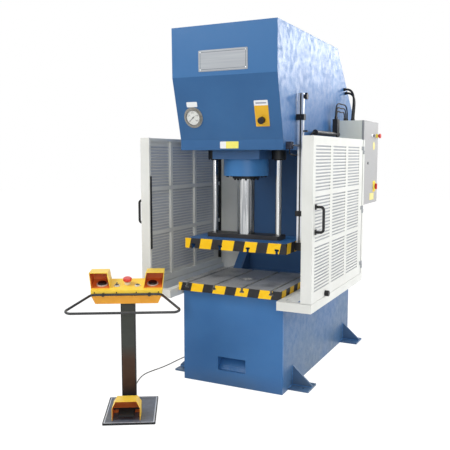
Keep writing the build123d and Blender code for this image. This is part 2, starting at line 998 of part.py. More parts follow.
def pump_motor():
    bottom = tank_top + pump_flange_height
    flange_top = bottom + motor_flange_height
    top = bottom + motor_height
    body = bar((0, motor_y, bottom), (0, motor_y, flange_top), motor_radius + motor_flange_width)
    body += bar((0, motor_y, flange_top), (0, motor_y, top), motor_radius)
    cowl = bar((0, motor_y, top), (0, motor_y, top + cowl_height), motor_radius - cowl_inset)
    half = terminal_box_width / 2
    box_z = (bottom + terminal_box_rise, bottom + terminal_box_rise + terminal_box_height)
    terminal_box = block((0, motor_radius + terminal_box_reach), (motor_y - half, motor_y + half), box_z)
    return body + cowl + terminal_box


save("pump_motor", pump_motor())

# Valve block on the tank lid, and its two pipes to the cylinder
valve_x = -inner_half + valve_width / 2 + valve_wall_gap
valve_y = tank_y[0] + valve_depth / 2 + valve_web_gap
press_port_x = valve_x + valve_port_spacing / 2
return_port_x = valve_x - valve_port_spacing / 2
valve_top = tank_top + valve_height
valve = block((valve_x - valve_width / 2, valve_x + valve_width / 2),
              (valve_y - valve_depth / 2, valve_y + valve_depth / 2), (tank_top, valve_top))
press_pipe = FilletPolyline(
    (press_port_x, valve_y, valve_top),
    (press_port_x, valve_y, barrel_top_height + press_pipe_rise),
    (-press_port_offset, ram_y, barrel_top_height + press_pipe_rise),
    (-press_port_offset, ram_y, barrel_top_height),
    radius=pipe_bend_radius)
return_pipe_height = web_top_height + return_pipe_rise
return_pipe = FilletPolyline(
    (return_port_x, valve_y, valve_top),
    (return_port_x, valve_y, return_pipe_height),
    (0, ram_y + barrel_radius + return_pipe_run, return_pipe_height),
    (0, ram_y + barrel_radius, return_pipe_height),
    radius=pipe_bend_radius)
pipes = [swept_tube(path, pipe_radius) for path in (press_pipe, return_pipe)]
save("valve_and_pipes", Compound([valve] + pipes))

# Pressure gauge on the sloped front
gauge_plane = slope_plane(gauge_offset, gauge_share)


def pressure_gauge():
    flange_top = gauge_flange_thickness
    case = disc(gauge_plane, -gauge_body_depth, 0, gauge_body_radius)
    case += disc(gauge_plane, 0, flange_top, gauge_flange_radius)
    case += disc(gauge_plane, flange_top, gauge_bezel_height, gauge_bezel_radius)
    case -= disc(gauge_plane, gauge_dial_level, gauge_bezel_height, gauge_dial_radius)
    case += disc(gauge_plane, gauge_dial_level, needle_level + 2 * needle_thickness, needle_shaft_radius)
    screw_circle = (gauge_flange_radius + gauge_bezel_radius) / 2
    for index in range(3):
        angle = radians(90 + 120 * index)
        place = gauge_plane * Pos(screw_circle * cos(angle), screw_circle * sin(angle), 0)
        case += disc(place, flange_top, flange_top + gauge_screw_height, gauge_screw_radius)
    return case


save("pressure_gauge", pressure_gauge())


def gauge_needle():
    half = needle_width / 2
    tip = needle_tip_width / 2
    outline = [(-half, -needle_tail), (half, -needle_tail), (tip, needle_length), (-tip, needle_length)]
    hand = gauge_plane * Pos(0, 0, needle_level) * Rot(0, 0, needle_rest_angle)
    needle = hand * extrude(make_face(Polyline(*outline, close=True)), needle_thickness)
    needle += disc(gauge_plane, needle_level, needle_level + 1.5 * needle_thickness, needle_boss_radius)
    bore = needle_shaft_radius + needle_shaft_clearance
    return needle - disc(gauge_plane, needle_level - 1, needle_level + 3 * needle_thickness, bore)


save("gauge_needle", gauge_needle())

# Pressure setting knob, with its stem through the plate and cover
knob_plane = slope_plane(setting_plate_offset, setting_knob_share)
knob_low = small_plate_thickness + fit_clearance
knob = disc(knob_plane, knob_low, knob_low + setting_knob_height, setting_knob_radius)
knob = fillet(knob.edges().filter_by(GeomType.CIRCLE), setting_knob_rounding)
knob += disc(knob_plane, -knob_stem_length, knob_low, knob_stem_radius)
save("pressure_knob", knob)


# Bare plates on the head: name place, gauge, setting knob and lip
def blank_plates():
    upper_tilt = atan2(head_overhang - fold_overhang, head_height - upper_fold_height)
    name_y = fold_y - name_plate_rise * tan(upper_tilt)
    upper = Plane(origin=(0, name_y, upper_fold_height + name_plate_rise), x_dir=(1, 0, 0),
                  z_dir=(0, -cos(upper_tilt), -sin(upper_tilt)))
    lip = Plane(origin=(lip_plate_offset, lip_y, (throat_height + lower_fold_height) / 2),
                x_dir=(1, 0, 0), z_dir=(0, -1, 0))
    setting = slope_plane(setting_plate_offset, setting_plate_share)
    above_gauge = slope_plane(gauge_offset, gauge_share + gauge_plate_rise / slope_rise)
    t = small_plate_thickness
    plates = []
    for plane, width, height in (
            (upper, name_plate_width, name_plate_height),
            (setting, setting_plate_width, setting_plate_height),
            (above_gauge, gauge_plate_width, gauge_plate_height),
            (lip, lip_plate_width, lip_plate_height)):
        face = RectangleRounded(width, height, small_plate_corner)
        plates.append(plane * extrude(face, t))
    plates[1] -= disc(knob_plane, 0, t, knob_stem_radius + fit_clearance)
    return Compound(plates)


save("blank_plates", blank_plates())

# Electrical cabinet
cabinet_x = (half_width + cabinet_standoff, half_width + cabinet_standoff + cabinet_depth)
cabinet_y = (front_y + cabinet_setback, front_y + cabinet_setback + cabinet_width)
cabinet_z = (cabinet_bottom_height, cabinet_bottom_height + cabinet_height)
door_x = (cabinet_x[1] + cabinet_door_gap, cabinet_x[1] + cabinet_door_gap + cabinet_door_thickness)
cabinet_hinge = (cabinet_x[1] + cabinet_hinge_pin_radius, cabinet_y[1] + cabinet_hinge_radius + hinge_gap)
cabinet_hinge_bottoms = (cabinet_z[0] + cabinet_hinge_rise,
                         cabinet_z[1] - cabinet_hinge_rise - cabinet_hinge_height)


def cabinet_box():
    w = cabinet_wall
    box = block(cabinet_x, cabinet_y, cabinet_z)
    box -= block((cabinet_x[0] + w, cabinet_x[1]), (cabinet_y[0] + w, cabinet_y[1] - w),
                 (cabinet_z[0] + w, cabinet_z[1] - w))
    rail_limits = (cabinet_y[0] + cabinet_rail_margin, rear_y - rear_cover_thickness - cabinet_rail_margin)
    for z in (cabinet_z[0] + cabinet_rail_rise, cabinet_z[1] - cabinet_rail_rise - cabinet_rail_height):
        box += block((half_width, cabinet_x[0]), rail_limits, (z, z + cabinet_rail_height))
    x, y = cabinet_hinge
    for z in cabinet_hinge_bottoms:
        middle = z + cabinet_hinge_height / 2 - fit_clearance
        knuckle = bar((x, y, z), (x, y, middle), cabinet_hinge_radius)
        leaf = block((x - cabinet_hinge_leaf_width, x), (cabinet_y[1], cabinet_y[1] + hinge_leaf),
                     (z, middle))
        pin = bar((x, y, z), (x, y, z + cabinet_hinge_height), cabinet_hinge_pin_radius)
        box += knuckle + leaf + pin
    return box


save("cabinet_box", cabinet_box())

# Places of the controls on the cabinet door
lock_y = cabinet_y[0] + lock_setback
lock_z = (cabinet_z[0] + cabinet_z[1]) / 2 - lock_drop
main_switch_y = cabinet_y[1] - main_switch_margin
main_switch_z = cabinet_z[0] + main_switch_rise
cabinet_stop_y = cabinet_y[1] - cabinet_stop_margin
cabinet_stop_z = cabinet_z[1] - cabinet_stop_drop


def cabinet_door():
    w = cabinet_wall
    face = door_x[1]
    door = block(door_x, cabinet_y, cabinet_z)
    door -= block((door_x[0], face - w), (cabinet_y[0] + w, cabinet_y[1] - w),
                  (cabinet_z[0] + w, cabinet_z[1] - w))
    x, y = cabinet_hinge
    for z in cabinet_hinge_bottoms:
        middle = z + cabinet_hinge_height / 2
        top = z + cabinet_hinge_height
        knuckle = bar((x, y, middle), (x, y, top), cabinet_hinge_radius)
        leaf = block((x, door_x[1]), (cabinet_y[1], cabinet_y[1] + hinge_leaf), (middle, top))
        door += knuckle + leaf - bar((x, y, middle), (x, y, top),
                                     cabinet_hinge_pin_radius + shaft_clearance)
    half_w = switch_plate_width / 2
    half_h = switch_plate_height / 2
    plate_face = face + switch_plate_thickness
    collar_end = face + cabinet_collar_length
    door += block((face, plate_face), (main_switch_y - half_w, main_switch_y + half_w),
                  (main_switch_z - half_h, main_switch_z + half_h))
    door += bar((face, cabinet_stop_y, cabinet_stop_z), (collar_end, cabinet_stop_y, cabinet_stop_z),
                button_neck_radius + cabinet_collar_width)
    for index in range(2):
        lamp_y = cabinet_y[1] - cabinet_lamp_margin - index * cabinet_lamp_spacing
        door += bar((face, lamp_y, cabinet_stop_z), (face + cabinet_lamp_height, lamp_y, cabinet_stop_z),
                    cabinet_lamp_radius)
    door -= bar((face - w, lock_y, lock_z), (face, lock_y, lock_z), lock_stem_radius + shaft_clearance)
    door -= bar((face - w, main_switch_y, main_switch_z), (plate_face, main_switch_y, main_switch_z),
                shaft_radius + shaft_clearance)
    door -= bar((face - w, cabinet_stop_y, cabinet_stop_z), (collar_end, cabinet_stop_y, cabinet_stop_z),
                button_neck_radius + shaft_clearance)
    return door


save("cabinet_door", cabinet_door())


def cabinet_lock():
    face = door_x[1]
    end = face + lock_thickness
    insert = bar((face + fit_clearance, lock_y, lock_z), (end, lock_y, lock_z), lock_radius)
    insert += bar((face - 2 * cabinet_wall, lock_y, lock_z), (end, lock_y, lock_z), lock_stem_radius)
    half = lock_slot_width / 2
    reach = lock_slot_length / 2
    slot = block((end - lock_slot_depth, end), (lock_y - half, lock_y + half),
                 (lock_z - reach, lock_z + reach))
    return insert - slot


save("cabinet_lock", cabinet_lock())


def main_switch():
    y, z = main_switch_y, main_switch_z
    face = door_x[1] + switch_plate_thickness
    base_end = face + switch_base_height
    half = switch_grip_width / 2
    knob = bar((face + fit_clearance, y, z), (base_end, y, z), switch_knob_radius)
    knob += block((base_end, base_end + switch_grip_height), (y - half, y + half),
                  (z - switch_knob_radius, z + switch_knob_radius))
    return knob + bar((face - 4 * cabinet_wall, y, z), (base_end, y, z), shaft_radius)


save("main_switch", main_switch())


def cabinet_stop():
    y, z = cabinet_stop_y, cabinet_stop_z
    face = door_x[1]
    cap_x = face + cabinet_collar_length + button_travel + button_lift_gap
    button = bar((cap_x, y, z), (cap_x + button_cap_height, y, z), button_cap_radius)
    button = fillet(button.edges().filter_by(GeomType.CIRCLE), button_cap_rounding)
    return button + bar((face - cabinet_wall, y, z), (cap_x, y, z), button_neck_radius)


save("cabinet_stop", cabinet_stop())

# Cable trunk along the right side plate, with its junction box at the rear
trunk_x = half_width + trunk_standoff + trunk_radius
trunk_y = (front_y + trunk_setback, front_y + trunk_setback + trunk_length)
trunk_z = cabinet_z[1] - trunk_drop
junction_y = (trunk_y[1] - trunk_cap_length - junction_length, trunk_y[1] - trunk_cap_length)
junction_top = cabinet_z[1]


def cable_trunk():
    z = trunk_z
    trunk = bar((trunk_x, trunk_y[0], z), (trunk_x, trunk_y[1], z), trunk_radius)
    for y in (trunk_y[0], trunk_y[1] - trunk_cap_length):
        trunk += bar((trunk_x, y, z), (trunk_x, y + trunk_cap_length, z), trunk_radius + trunk_cap_margin)
    tall = trunk_bracket_height / 2
    for y in (trunk_y[0] + trunk_bracket_setback, trunk_y[1] - 2 * trunk_bracket_setback):
        trunk += block((half_width, trunk_x), (y, y + trunk_bracket_length), (z - tall, z + tall))
    half = junction_width / 2
    return trunk + block((trunk_x - half, trunk_x + half), junction_y, (z - trunk_radius, junction_top))


save("cable_trunk", cable_trunk())


# Flexible conduits, each with a gland at both ends
def arched_tube(points, tangents, radius):
    return swept_tube(Spline(*points, tangents=tangents), radius)


def cabinet_conduits():
    shapes = []
    start_top = junction_top + conduit_gland_height
    landing_top = cabinet_z[1] + conduit_gland_height
    gland_r = conduit_radius + conduit_gland_wall
    for index in range(3):
        start_y = junction_y[0] + conduit_start_gap + index * conduit_start_pitch
        end_y = front_y + conduit_landing_setback - index * conduit_landing_pitch
        peak = cabinet_z[1] + conduit_rise - index * conduit_rise_pitch
        points = [(trunk_x, start_y, start_top), (trunk_x, (start_y + end_y) / 2, peak),
                  (trunk_x, end_y, landing_top)]
        shapes.append(arched_tube(points, [(0, 0, 1), (0, 0, -1)], conduit_radius))
        shapes.append(bar((trunk_x, start_y, junction_top), points[0], gland_r))
        shapes.append(bar((trunk_x, end_y, cabinet_z[1]), points[2], gland_r))
    reach_x = half_width + main_conduit_reach
    gland_x = half_width + conduit_gland_height
    gland_r = main_conduit_radius + conduit_gland_wall
    for index in range(2):
        y = front_y + main_conduit_setback + index * main_conduit_spacing
        z = cabinet_z[1] + main_conduit_share * (rear_slope_sum - y - cabinet_z[1])
        ends = [(gland_x, y, z), (reach_x, y, landing_top)]
        shapes.append(arched_tube(ends, [(1, 0, 0), (0, 0, -1)], main_conduit_radius))
        shapes.append(bar((half_width, y, z), ends[0], gland_r))
        shapes.append(bar((reach_x, y, cabinet_z[1]), ends[1], gland_r))
    return shapes


# Lead from the limit switch, looped under the rail and up into the trunk's end
def switch_lead():
    x = half_width + switch_width / 2
    y = switch_y[0] + switch_length / 2
    low = switch_z[0] - lead_drop
    wall_x = half_width + lead_wall_gap
    end_y = trunk_y[0]
    path = FilletPolyline(
        (x, y, switch_z[0]), (x, y, low), (wall_x, rail_y[0] - lead_bend, low - lead_sag),
        (wall_x, rail_y[1] + lead_bend, low), (trunk_x, end_y - 2 * lead_bend, trunk_z),
        (trunk_x, end_y, trunk_z), radius=lead_corner_radius)
    return swept_tube(path, lead_radius)


save("machine_conduits", Compound(cabinet_conduits() + [switch_lead()]))

# Side guards, drawn for the right side
guard_x = (guard_half_width - guard_sheet, guard_half_width)
guard_y = (front_y - guard_overhang, front_y - guard_overhang + guard_depth)
guard_z = (seat_height + guard_seat_gap, seat_height + guard_seat_gap + guard_height)
guard_hinge = (guard_half_width + hinge_leaf - hinge_sink, guard_y[1] + hinge_radius + hinge_gap)
post_front = guard_hinge[1] + hinge_radius + hinge_gap
hinge_heights = (guard_z[0] + low_hinge_rise, (guard_z[0] + guard_z[1]) / 2 - middle_hinge_drop,
                 guard_z[1] - high_hinge_drop)

# The windows fill the sheet between its margins, in columns and groups
columns_width = guard_depth - window_front_margin - window_back_margin
window_width = (columns_width - (window_columns - 1) * window_column_gap) / window_columns
window_pitch_across = window_width + window_column_gap
window_starts = [guard_y[0] + window_front_margin + i * window_pitch_across for i in range(window_columns)]
groups_height = guard_height - window_top_margin - window_bottom_margin
group_height = (groups_height - (window_groups - 1) * window_group_gap) / window_groups
window_pitch_up = (group_height - window_height) / (window_rows - 1)
group_tops = [guard_z[1] - window_top_margin - i * (group_height + window_group_gap)
              for i in range(window_groups)]


def guard_side_sheet():
    outline = make_face(Polyline((guard_y[0], guard_z[0]), (guard_y[1], guard_z[0]),
                                 (guard_y[1], guard_z[1]), (guard_y[0], guard_z[1]), close=True))
    windows = []
    for start in window_starts:
        for top in group_tops:
            for row in range(window_rows):
                middle = top - row * window_pitch_up - window_height / 2
                place = Pos(start + window_width / 2, middle)
                windows.append(place * Rectangle(window_width, window_height))
    sheet = outline - windows
    return Pos(guard_x[0], 0, 0) * extrude(Plane.YZ * sheet, guard_sheet, dir=(1, 0, 0))


def guard_door():
    s = guard_sheet
    outer = guard_half_width
    inner = outer - guard_channel
    low, high = guard_z
    front, back = guard_y
    door = guard_side_sheet()
    flange_edge = outer - guard_flange_width
    door += block((flange_edge, outer), (front, front + s), guard_z)
    door += block((flange_edge, flange_edge + s), (front, front + guard_lip), guard_z)
    door += block((inner, outer), (front, back), (high - s, high))
    door += block((inner, inner + s), (front, back), (high - guard_lip, high))
    door += block((inner, outer), (back - s, back), guard_z)
    rail_top = low + guard_rail_height
    tube = block((inner, outer), (front, back), (low, rail_top))
    tube -= block((inner + s, outer - s), (front + s, back - s), (low + s, rail_top - s))
    door += tube
    rib_x = (guard_x[0] - guard_rib_depth, guard_x[0])
    half = guard_rib_width / 2
    for start in window_starts[1:]:
        gap_middle = start - window_column_gap / 2
        door += block(rib_x, (gap_middle - half, gap_middle + half), (rail_top, high - s))
    for top in group_tops[1:]:
        gap_middle = top + window_group_gap / 2
        door += block(rib_x, (front + s, back - s), (gap_middle - half, gap_middle + half))
    x, y = guard_hinge
    for z in hinge_heights:
        top = z + hinge_height / 2
        door += block((outer, outer + hinge_leaf), (back - hinge_leaf_reach, y), (z, top))
        door += bar((x, y, z), (x, y, top), hinge_radius)
        door -= bar((x, y, z), (x, y, top), hinge_pin_radius + shaft_clearance)
    hole_z = low + guard_hole_rise
    hole_y = front + handle_margin
    door -= bar((outer - s, hole_y, hole_z), (outer, hole_y, hole_z), guard_hole_radius)
    return door


def guard_frame():
    tube = guard_frame_tube
    wall = guard_sheet
    top = guard_z[0] - guard_frame_gap
    z = (top - guard_frame_height, top)
    x = (half_width + guard_frame_offset, guard_half_width)
    y = (guard_y[0], post_front + tube)
    frame = block(x, y, z) - block((x[0] + tube, x[1] - tube), (y[0] + tube, y[1] - tube), z)
    cavity = block((x[0] + wall, x[1] - wall), (y[0] + wall, y[1] - wall), (z[0] + wall, z[1] - wall))
    inner = tube - wall
    cavity -= block((x[0] + inner, x[1] - inner), (y[0] + inner, y[1] - inner), z)
    frame -= cavity
    m = guard_bracket_margin
    first = front_y + guard_bracket_setback
    for bracket_y in (first, first + guard_bracket_spacing, web_y):
        frame += block((half_width, x[0]), (bracket_y, bracket_y + guard_bracket_length),
                       (z[0] + m, seat_height - m))
    post = block((x[1] - tube, x[1]), (post_front, y[1]), (z[1], guard_z[1]))
    post -= block((x[1] - tube + wall, x[1] - wall), (post_front + wall, y[1] - wall),
                  (z[1], guard_z[1] - wall))
    frame += post
    frame += block((half_width, x[1] - tube), (post_front, post_front + rear_panel_thickness),
                   (z[1], guard_z[1]))
    hx, hy = guard_hinge
    for height in hinge_heights:
        middle = height - hinge_clearance
        bottom = height - hinge_height / 2
        frame += block((x[1], x[1] + hinge_leaf), (hy, post_front + hinge_leaf_reach), (bottom, middle))
        frame += bar((hx, hy, bottom), (hx, hy, middle), hinge_radius)
        frame += bar((hx, hy, bottom), (hx, hy, height + hinge_height / 2), hinge_pin_radius)
    return frame


# Pull handle and latch knob on the guard door
def door_fittings():
    y = guard_y[0] + handle_margin
    z = guard_z[0] + handle_rise
    x = guard_half_width
    path = FilletPolyline((x, y, z), (x + handle_reach, y, z), (x + handle_reach, y, z + handle_height),
                          (x, y, z + handle_height), radius=handle_bend)
    handle = swept_tube(path, handle_radius)
    latch_y = front_y + latch_setback
    latch_z = guard_z[0] + latch_radius
    latch = bar((x, latch_y, latch_z), (x + latch_height, latch_y, latch_z), latch_radius)
    latch = fillet(latch.edges().group_by(Axis.X)[-1], latch_rounding)
    return Compound([handle, latch])


right_door = guard_door()
right_frame = guard_frame()
right_fittings = door_fittings()
save("right_guard_door", right_door)
save("left_guard_door", both_sides(right_door))
save("right_guard_frame", right_frame)
save("left_guard_frame", both_sides(right_frame))
save("right_door_fittings", right_fittings)
save("left_door_fittings", both_sides(right_fittings))

# Control stand, drawn square to the axes and then turned into place
stand_place = Pos(stand_side_offset, stand_front_offset, 0) * Rot(0, 0, stand_turn)
stand_back = stand_plate_depth / 2
post_y = (stand_back - post_back_margin - post_depth, stand_back - post_back_margin)
post_x = (stand_offset - post_width / 2, stand_offset + post_width / 2)
console_y = (post_y[0] - console_ahead, post_y[0] - console_ahead + console_depth)
console_x = (stand_offset - console_width / 2, stand_offset + console_width / 2)
seam_height = console_bottom_height + console_lower_height


def control_stand():
    half = stand_plate_width / 2
    plate = block((-half, half), (-stand_back, stand_back), (0, stand_plate_thickness))
    plate = chamfer(plate.edges().filter_by(Axis.Z), stand_plate_corner)
    post_z = (stand_plate_thickness, console_bottom_height)
    post = block(post_x, post_y, post_z)
    w = post_wall
    post -= block((post_x[0] + w, post_x[1] - w), (post_y[0] + w, post_y[1] - w), post_z)
    return plate + post


save("control_stand", stand_place * control_stand())


def tapered_box(low_x, low_y, low_z, high_x, high_y, high_z):
    faces = []
    for x, y, z in ((low_x, low_y, low_z), (high_x, high_y, high_z)):
        corners = [(x[0], y[0], z), (x[1], y[0], z), (x[1], y[1], z), (x[0], y[1], z)]
        faces.append(make_face(Polyline(*corners, close=True)))
    return loft(faces, ruled=True)


def console_base():
    t = console_taper
    w = console_wall
    low_x = (console_x[0] + t, console_x[1] - t)
    low_y = (console_y[0] + t / 2, console_y[1])
    shell = tapered_box(low_x, low_y, console_bottom_height, console_x, console_y, seam_height)
    inner_low_x = (low_x[0] + w, low_x[1] - w)
    inner_low_y = (low_y[0] + w, low_y[1] - w)
    inner_x = (console_x[0] + w, console_x[1] - w)
    inner_y = (console_y[0] + w, console_y[1] - w)
    return shell - tapered_box(inner_low_x, inner_low_y, console_bottom_height + w,
                               inner_x, inner_y, seam_height)


save("console_base", stand_place * console_base())

# The console's deck rises towards its back
deck_rise = console_back_height - console_front_height
deck_tilt = atan2(deck_rise, console_depth)


def deck_plane(x, depth_share):
    y = console_y[0] + depth_share * console_depth
    z = seam_height + console_front_height + depth_share * deck_rise
    return Plane(origin=(x, y, z), x_dir=(1, 0, 0), z_dir=(0, -sin(deck_tilt), cos(deck_tilt)))


palm_centres = [stand_offset + side * (console_width - shroud_width) / 2 for side in (-1, 1)]
palm_planes = [deck_plane(x, deck_middle_share) for x in palm_centres]
stop_plane = deck_plane(stand_offset, deck_middle_share)
selector_planes = [deck_plane(stand_offset + side * selector_spacing / 2, selector_share)
                   for side in (-1, 1)]


# Hood over one palm button, open to the front
def shroud(side):
    outer_edge = stand_offset + side * console_width / 2
    inner_edge = outer_edge - side * shroud_width
    flare = side * shroud_flare
    lean = side * shroud_lean
    low = seam_height + console_front_height / 2
    high = seam_height + console_front_height + shroud_height
    w = console_wall
    wall = side * w
    outline = [(outer_edge, low), (inner_edge, low), (inner_edge + lean, high), (outer_edge + flare, high)]
    hollow = [(outer_edge - wall, low - w), (inner_edge + wall, low - w),
              (inner_edge + lean + wall, high - w), (outer_edge + flare - wall, high - w)]
    back = console_y[1]
    hood = front_profile(outline, (back - shroud_depth, back))
    return hood - front_profile(hollow, (back - shroud_depth - w, back - w))


def console_top():
    front = console_y[0]
    back = console_y[1]
    w = console_wall
    low = seam_height
    outline = [(front, low), (front, low + console_front_height), (back, low + console_back_height),
               (back, low)]
    hollow = [(front + w, low), (front + w, low + console_front_height - w),
              (back - w, low + console_back_height - w - deck_rise * w / console_depth), (back - w, low)]
    top = side_profile(outline, console_x) + shroud(-1) + shroud(1)
    top -= side_profile(hollow, (console_x[0] + w, console_x[1] - w))
    for plane in palm_planes:
        top += disc(plane, -w / 2, palm_ring_height, palm_ring_radius)
        top -= disc(plane, -3 * w, palm_ring_height, palm_radius + fit_clearance)
    top += disc(stop_plane, -w / 2, stop_collar_height, console_stop_collar)
    top -= disc(stop_plane, -3 * w, stop_collar_height, button_neck_radius + fit_clearance)
    for plane in selector_planes:
        top += disc(plane, -w / 2, selector_bezel_height, selector_bezel)
        top -= disc(plane, -3 * w, selector_bezel_height, selector_radius + fit_clearance)
    return top


save("console_top", stand_place * console_top())


def palm_button(plane):
    button = disc(plane, -console_wall / 2, palm_height, palm_radius)
    rim = button.edges().filter_by(GeomType.CIRCLE).sort_by(Axis.Z)[-1]
    return fillet(rim, palm_rounding)


save("left_palm_button", stand_place * palm_button(palm_planes[0]))
save("right_palm_button", stand_place * palm_button(palm_planes[1]))


def console_stop():
    cap_low = stop_collar_height + button_travel + button_lift_gap
    cap = disc(stop_plane, cap_low, console_stop_height, console_stop_radius)
    cap = fillet(cap.edges().filter_by(GeomType.CIRCLE).sort_by(Axis.Z)[-1], console_stop_rounding)
    return cap + disc(stop_plane, -console_wall, cap_low, button_neck_radius)


save("console_stop", stand_place * console_stop())


def mode_selector():
    plane = selector_planes[0]
    knob = disc(plane, -console_wall, selector_height, selector_radius)
    grip = Box(selector_grip_width, 2 * (selector_radius - 1), selector_grip_height,
               align=(Align.CENTER, Align.CENTER, Align.MIN))
    return knob + plane * Pos(0, 0, selector_height) * grip


save("mode_selector", stand_place * mode_selector())
start_button = disc(selector_planes[1], -console_wall, selector_height, selector_radius)
save("start_button", stand_place * start_button)


# Ring guard of round bar in front of the console, with two fixing bosses
def ring_guard():
    inner_y = console_y[0] - ring_radius - fit_clearance
    inner_z = seam_height + ring_radius / 2
    inner = console_width / 2 - ring_inset
    outer = ring_outer_width / 2
    outer_y = inner_y - ring_reach
    outer_z = inner_z - ring_drop
    corners = [(stand_offset + inner, inner_y, inner_z), (stand_offset + outer, outer_y, outer_z),
               (stand_offset - outer, outer_y, outer_z), (stand_offset - inner, inner_y, inner_z)]
    path = FilletPolyline(*corners, radius=ring_corner, close=True)
    ring = swept_tube(path, ring_radius)
    for side in (-1, 1):
        x = stand_offset + side * (inner - 2 * ring_corner)
        boss_end = inner_y - ring_radius - ring_boss_margin
        ring += bar((x, console_y[0], inner_z), (x, boss_end, inner_z), ring_boss_radius)
    return ring


save("ring_guard", stand_place * ring_guard())

# Foot pedal under its hood
hood_y = (-stand_back + hood_front_margin, -stand_back + hood_front_margin + hood_length)
pedal_hinge = (hood_y[0] + pedal_hinge_setback, stand_plate_thickness + pedal_hinge_height)


def hood_section(y, height, inset, low):
    half = hood_width / 2 - inset
    crown = hood_crown_width / 2 - inset * hood_crown_inset_share
    floor = stand_plate_thickness
    points = [(-half, low), (-half, floor + hood_shoulder), (-crown, floor + height - inset),
              (crown, floor + height - inset), (half, floor + hood_shoulder), (half, low)]
    wire = Polyline(*[(x + pedal_offset, y, z) for x, z in points], close=True)
    return make_face(wire)


def pedal_hood():
    floor = stand_plate_thickness
    w = hood_wall
    outer = loft([hood_section(hood_y[0], hood_front_height, 0, floor),
                  hood_section(hood_y[1], hood_back_height, 0, floor)], ruled=True)
    inner = loft([hood_section(hood_y[0] - w, hood_front_height, w, floor - w),
                  hood_section(hood_y[1] - w, hood_back_height, w, floor - w)], ruled=True)
    return outer - inner


save("pedal_hood", stand_place * pedal_hood())


def foot_pedal():
    y, z = pedal_hinge
    tread = Box(pedal_width, pedal_length, pedal_thickness, align=(Align.CENTER, Align.MAX, Align.CENTER))
    tread = Pos(pedal_offset, y, z) * Rot(pedal_slope, 0, 0) * tread
    half = hood_width / 2 - hood_wall - fit_clearance
    return tread + bar((pedal_offset - half, y, z), (pedal_offset + half, y, z), pedal_hinge_radius)


save("foot_pedal", stand_place * foot_pedal())

# Cable glands on the stand's post and on the frame's left side
post_gland = bar((stand_offset, post_y[1], post_gland_height),
                 (stand_offset, post_y[1] + cable_gland_length, post_gland_height), cable_gland_radius)
frame_gland_y = front_y + frame_gland_setback
frame_gland_end = -half_width - cable_gland_length
frame_gland = bar((-half_width, frame_gland_y, frame_gland_height),
                  (frame_gland_end, frame_gland_y, frame_gland_height), cable_gland_radius)
save("cable_glands", Compound([stand_place * post_gland, frame_gland]))

# The cable lies on the floor from the stand to the frame's left side
floor_z = cable_radius + cable_clearance
post_gland_end = post_y[1] + cable_gland_length
cable_start = stand_place * Pos(stand_offset, post_gland_end, post_gland_height)
cable_lead = stand_place * Pos(stand_offset, post_gland_end + cable_straight, post_gland_height)
cable_points = [
    tuple(cable_start.position),
    tuple(cable_lead.position),
    (-584, -1205, 22),
    (-622, -1130, floor_z),
    (-660, -1045, floor_z),
    (-692, -958, floor_z),
    (-706, -880, floor_z),
    (-694, -800, floor_z),
    (-671, -712, floor_z),
    (-656, -610, floor_z),
    (-652, -505, floor_z),
    (-641, -400, floor_z),
    (-634, -290, floor_z),
    (-640, -180, floor_z),
    (-637, -70, floor_z),
    (-626, 40, floor_z),
    (-606, 145, floor_z),
    (-576, 238, floor_z),
    (-536, 320, 18),
    (frame_gland_end - cable_straight, frame_gland_y, frame_gland_height),
    (frame_gland_end, frame_gland_y, frame_gland_height),
]
cable_radii = bend_radii(cable_points)
print("cable radii", [round(radius) for radius in cable_radii])
cable_path = FilletPolyline(*cable_points, radius=cable_radii)
cable = swept_tube(cable_path, cable_radius)
print("cable length", round(cable_path.length), "volume", round(cable.volume),
      "section times length", round(pi * cable_radius ** 2 * cable_path.length))
save("stand_cable", cable)
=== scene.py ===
import bpy
import json
from math import atan2, cos, pi, radians, sin, sqrt
from mathutils import Matrix, Vector


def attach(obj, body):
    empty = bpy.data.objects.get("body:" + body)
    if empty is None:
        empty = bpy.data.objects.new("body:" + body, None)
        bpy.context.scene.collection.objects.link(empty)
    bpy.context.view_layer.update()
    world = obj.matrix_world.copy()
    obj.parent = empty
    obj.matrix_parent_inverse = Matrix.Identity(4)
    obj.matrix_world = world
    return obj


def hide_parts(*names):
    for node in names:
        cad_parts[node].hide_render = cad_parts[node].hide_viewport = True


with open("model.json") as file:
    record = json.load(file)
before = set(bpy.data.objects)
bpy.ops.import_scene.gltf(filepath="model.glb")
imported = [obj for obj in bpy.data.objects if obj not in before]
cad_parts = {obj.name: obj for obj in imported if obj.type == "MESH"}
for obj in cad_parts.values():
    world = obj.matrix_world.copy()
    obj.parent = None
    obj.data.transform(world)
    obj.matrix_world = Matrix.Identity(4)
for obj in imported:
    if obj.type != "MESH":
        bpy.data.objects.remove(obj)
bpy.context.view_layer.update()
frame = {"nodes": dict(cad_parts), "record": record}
print("frame loaded")


# small helpers for modelling

def clearSelection():
    if bpy.context.object and bpy.context.object.mode != "OBJECT":
        bpy.ops.object.mode_set(mode="OBJECT")
    bpy.ops.object.select_all(action="DESELECT")


def pick(piece):
    clearSelection()
    piece.select_set(True)
    bpy.context.view_layer.objects.active = piece


def applyModifiers(piece):
    pick(piece)
    for modifier in list(piece.modifiers):
        bpy.ops.object.modifier_apply(modifier=modifier.name)


def roundEdges(piece, width, segments=2):
    bevel = piece.modifiers.new("roundEdges", "BEVEL")
    bevel.width = width
    bevel.segments = segments
    bevel.limit_method = "ANGLE"
    bevel.angle_limit = radians(35)
    applyModifiers(piece)


def placeMatrix(origin, outward, across=(1, 0, 0)):
    # Z looks outward, X runs across
    z = Vector(outward).normalized()
    x = Vector(across)
    x = (x - z * x.dot(z)).normalized()
    return Matrix.Translation(origin) @ Matrix((x, z.cross(x), z)).transposed().to_4x4()


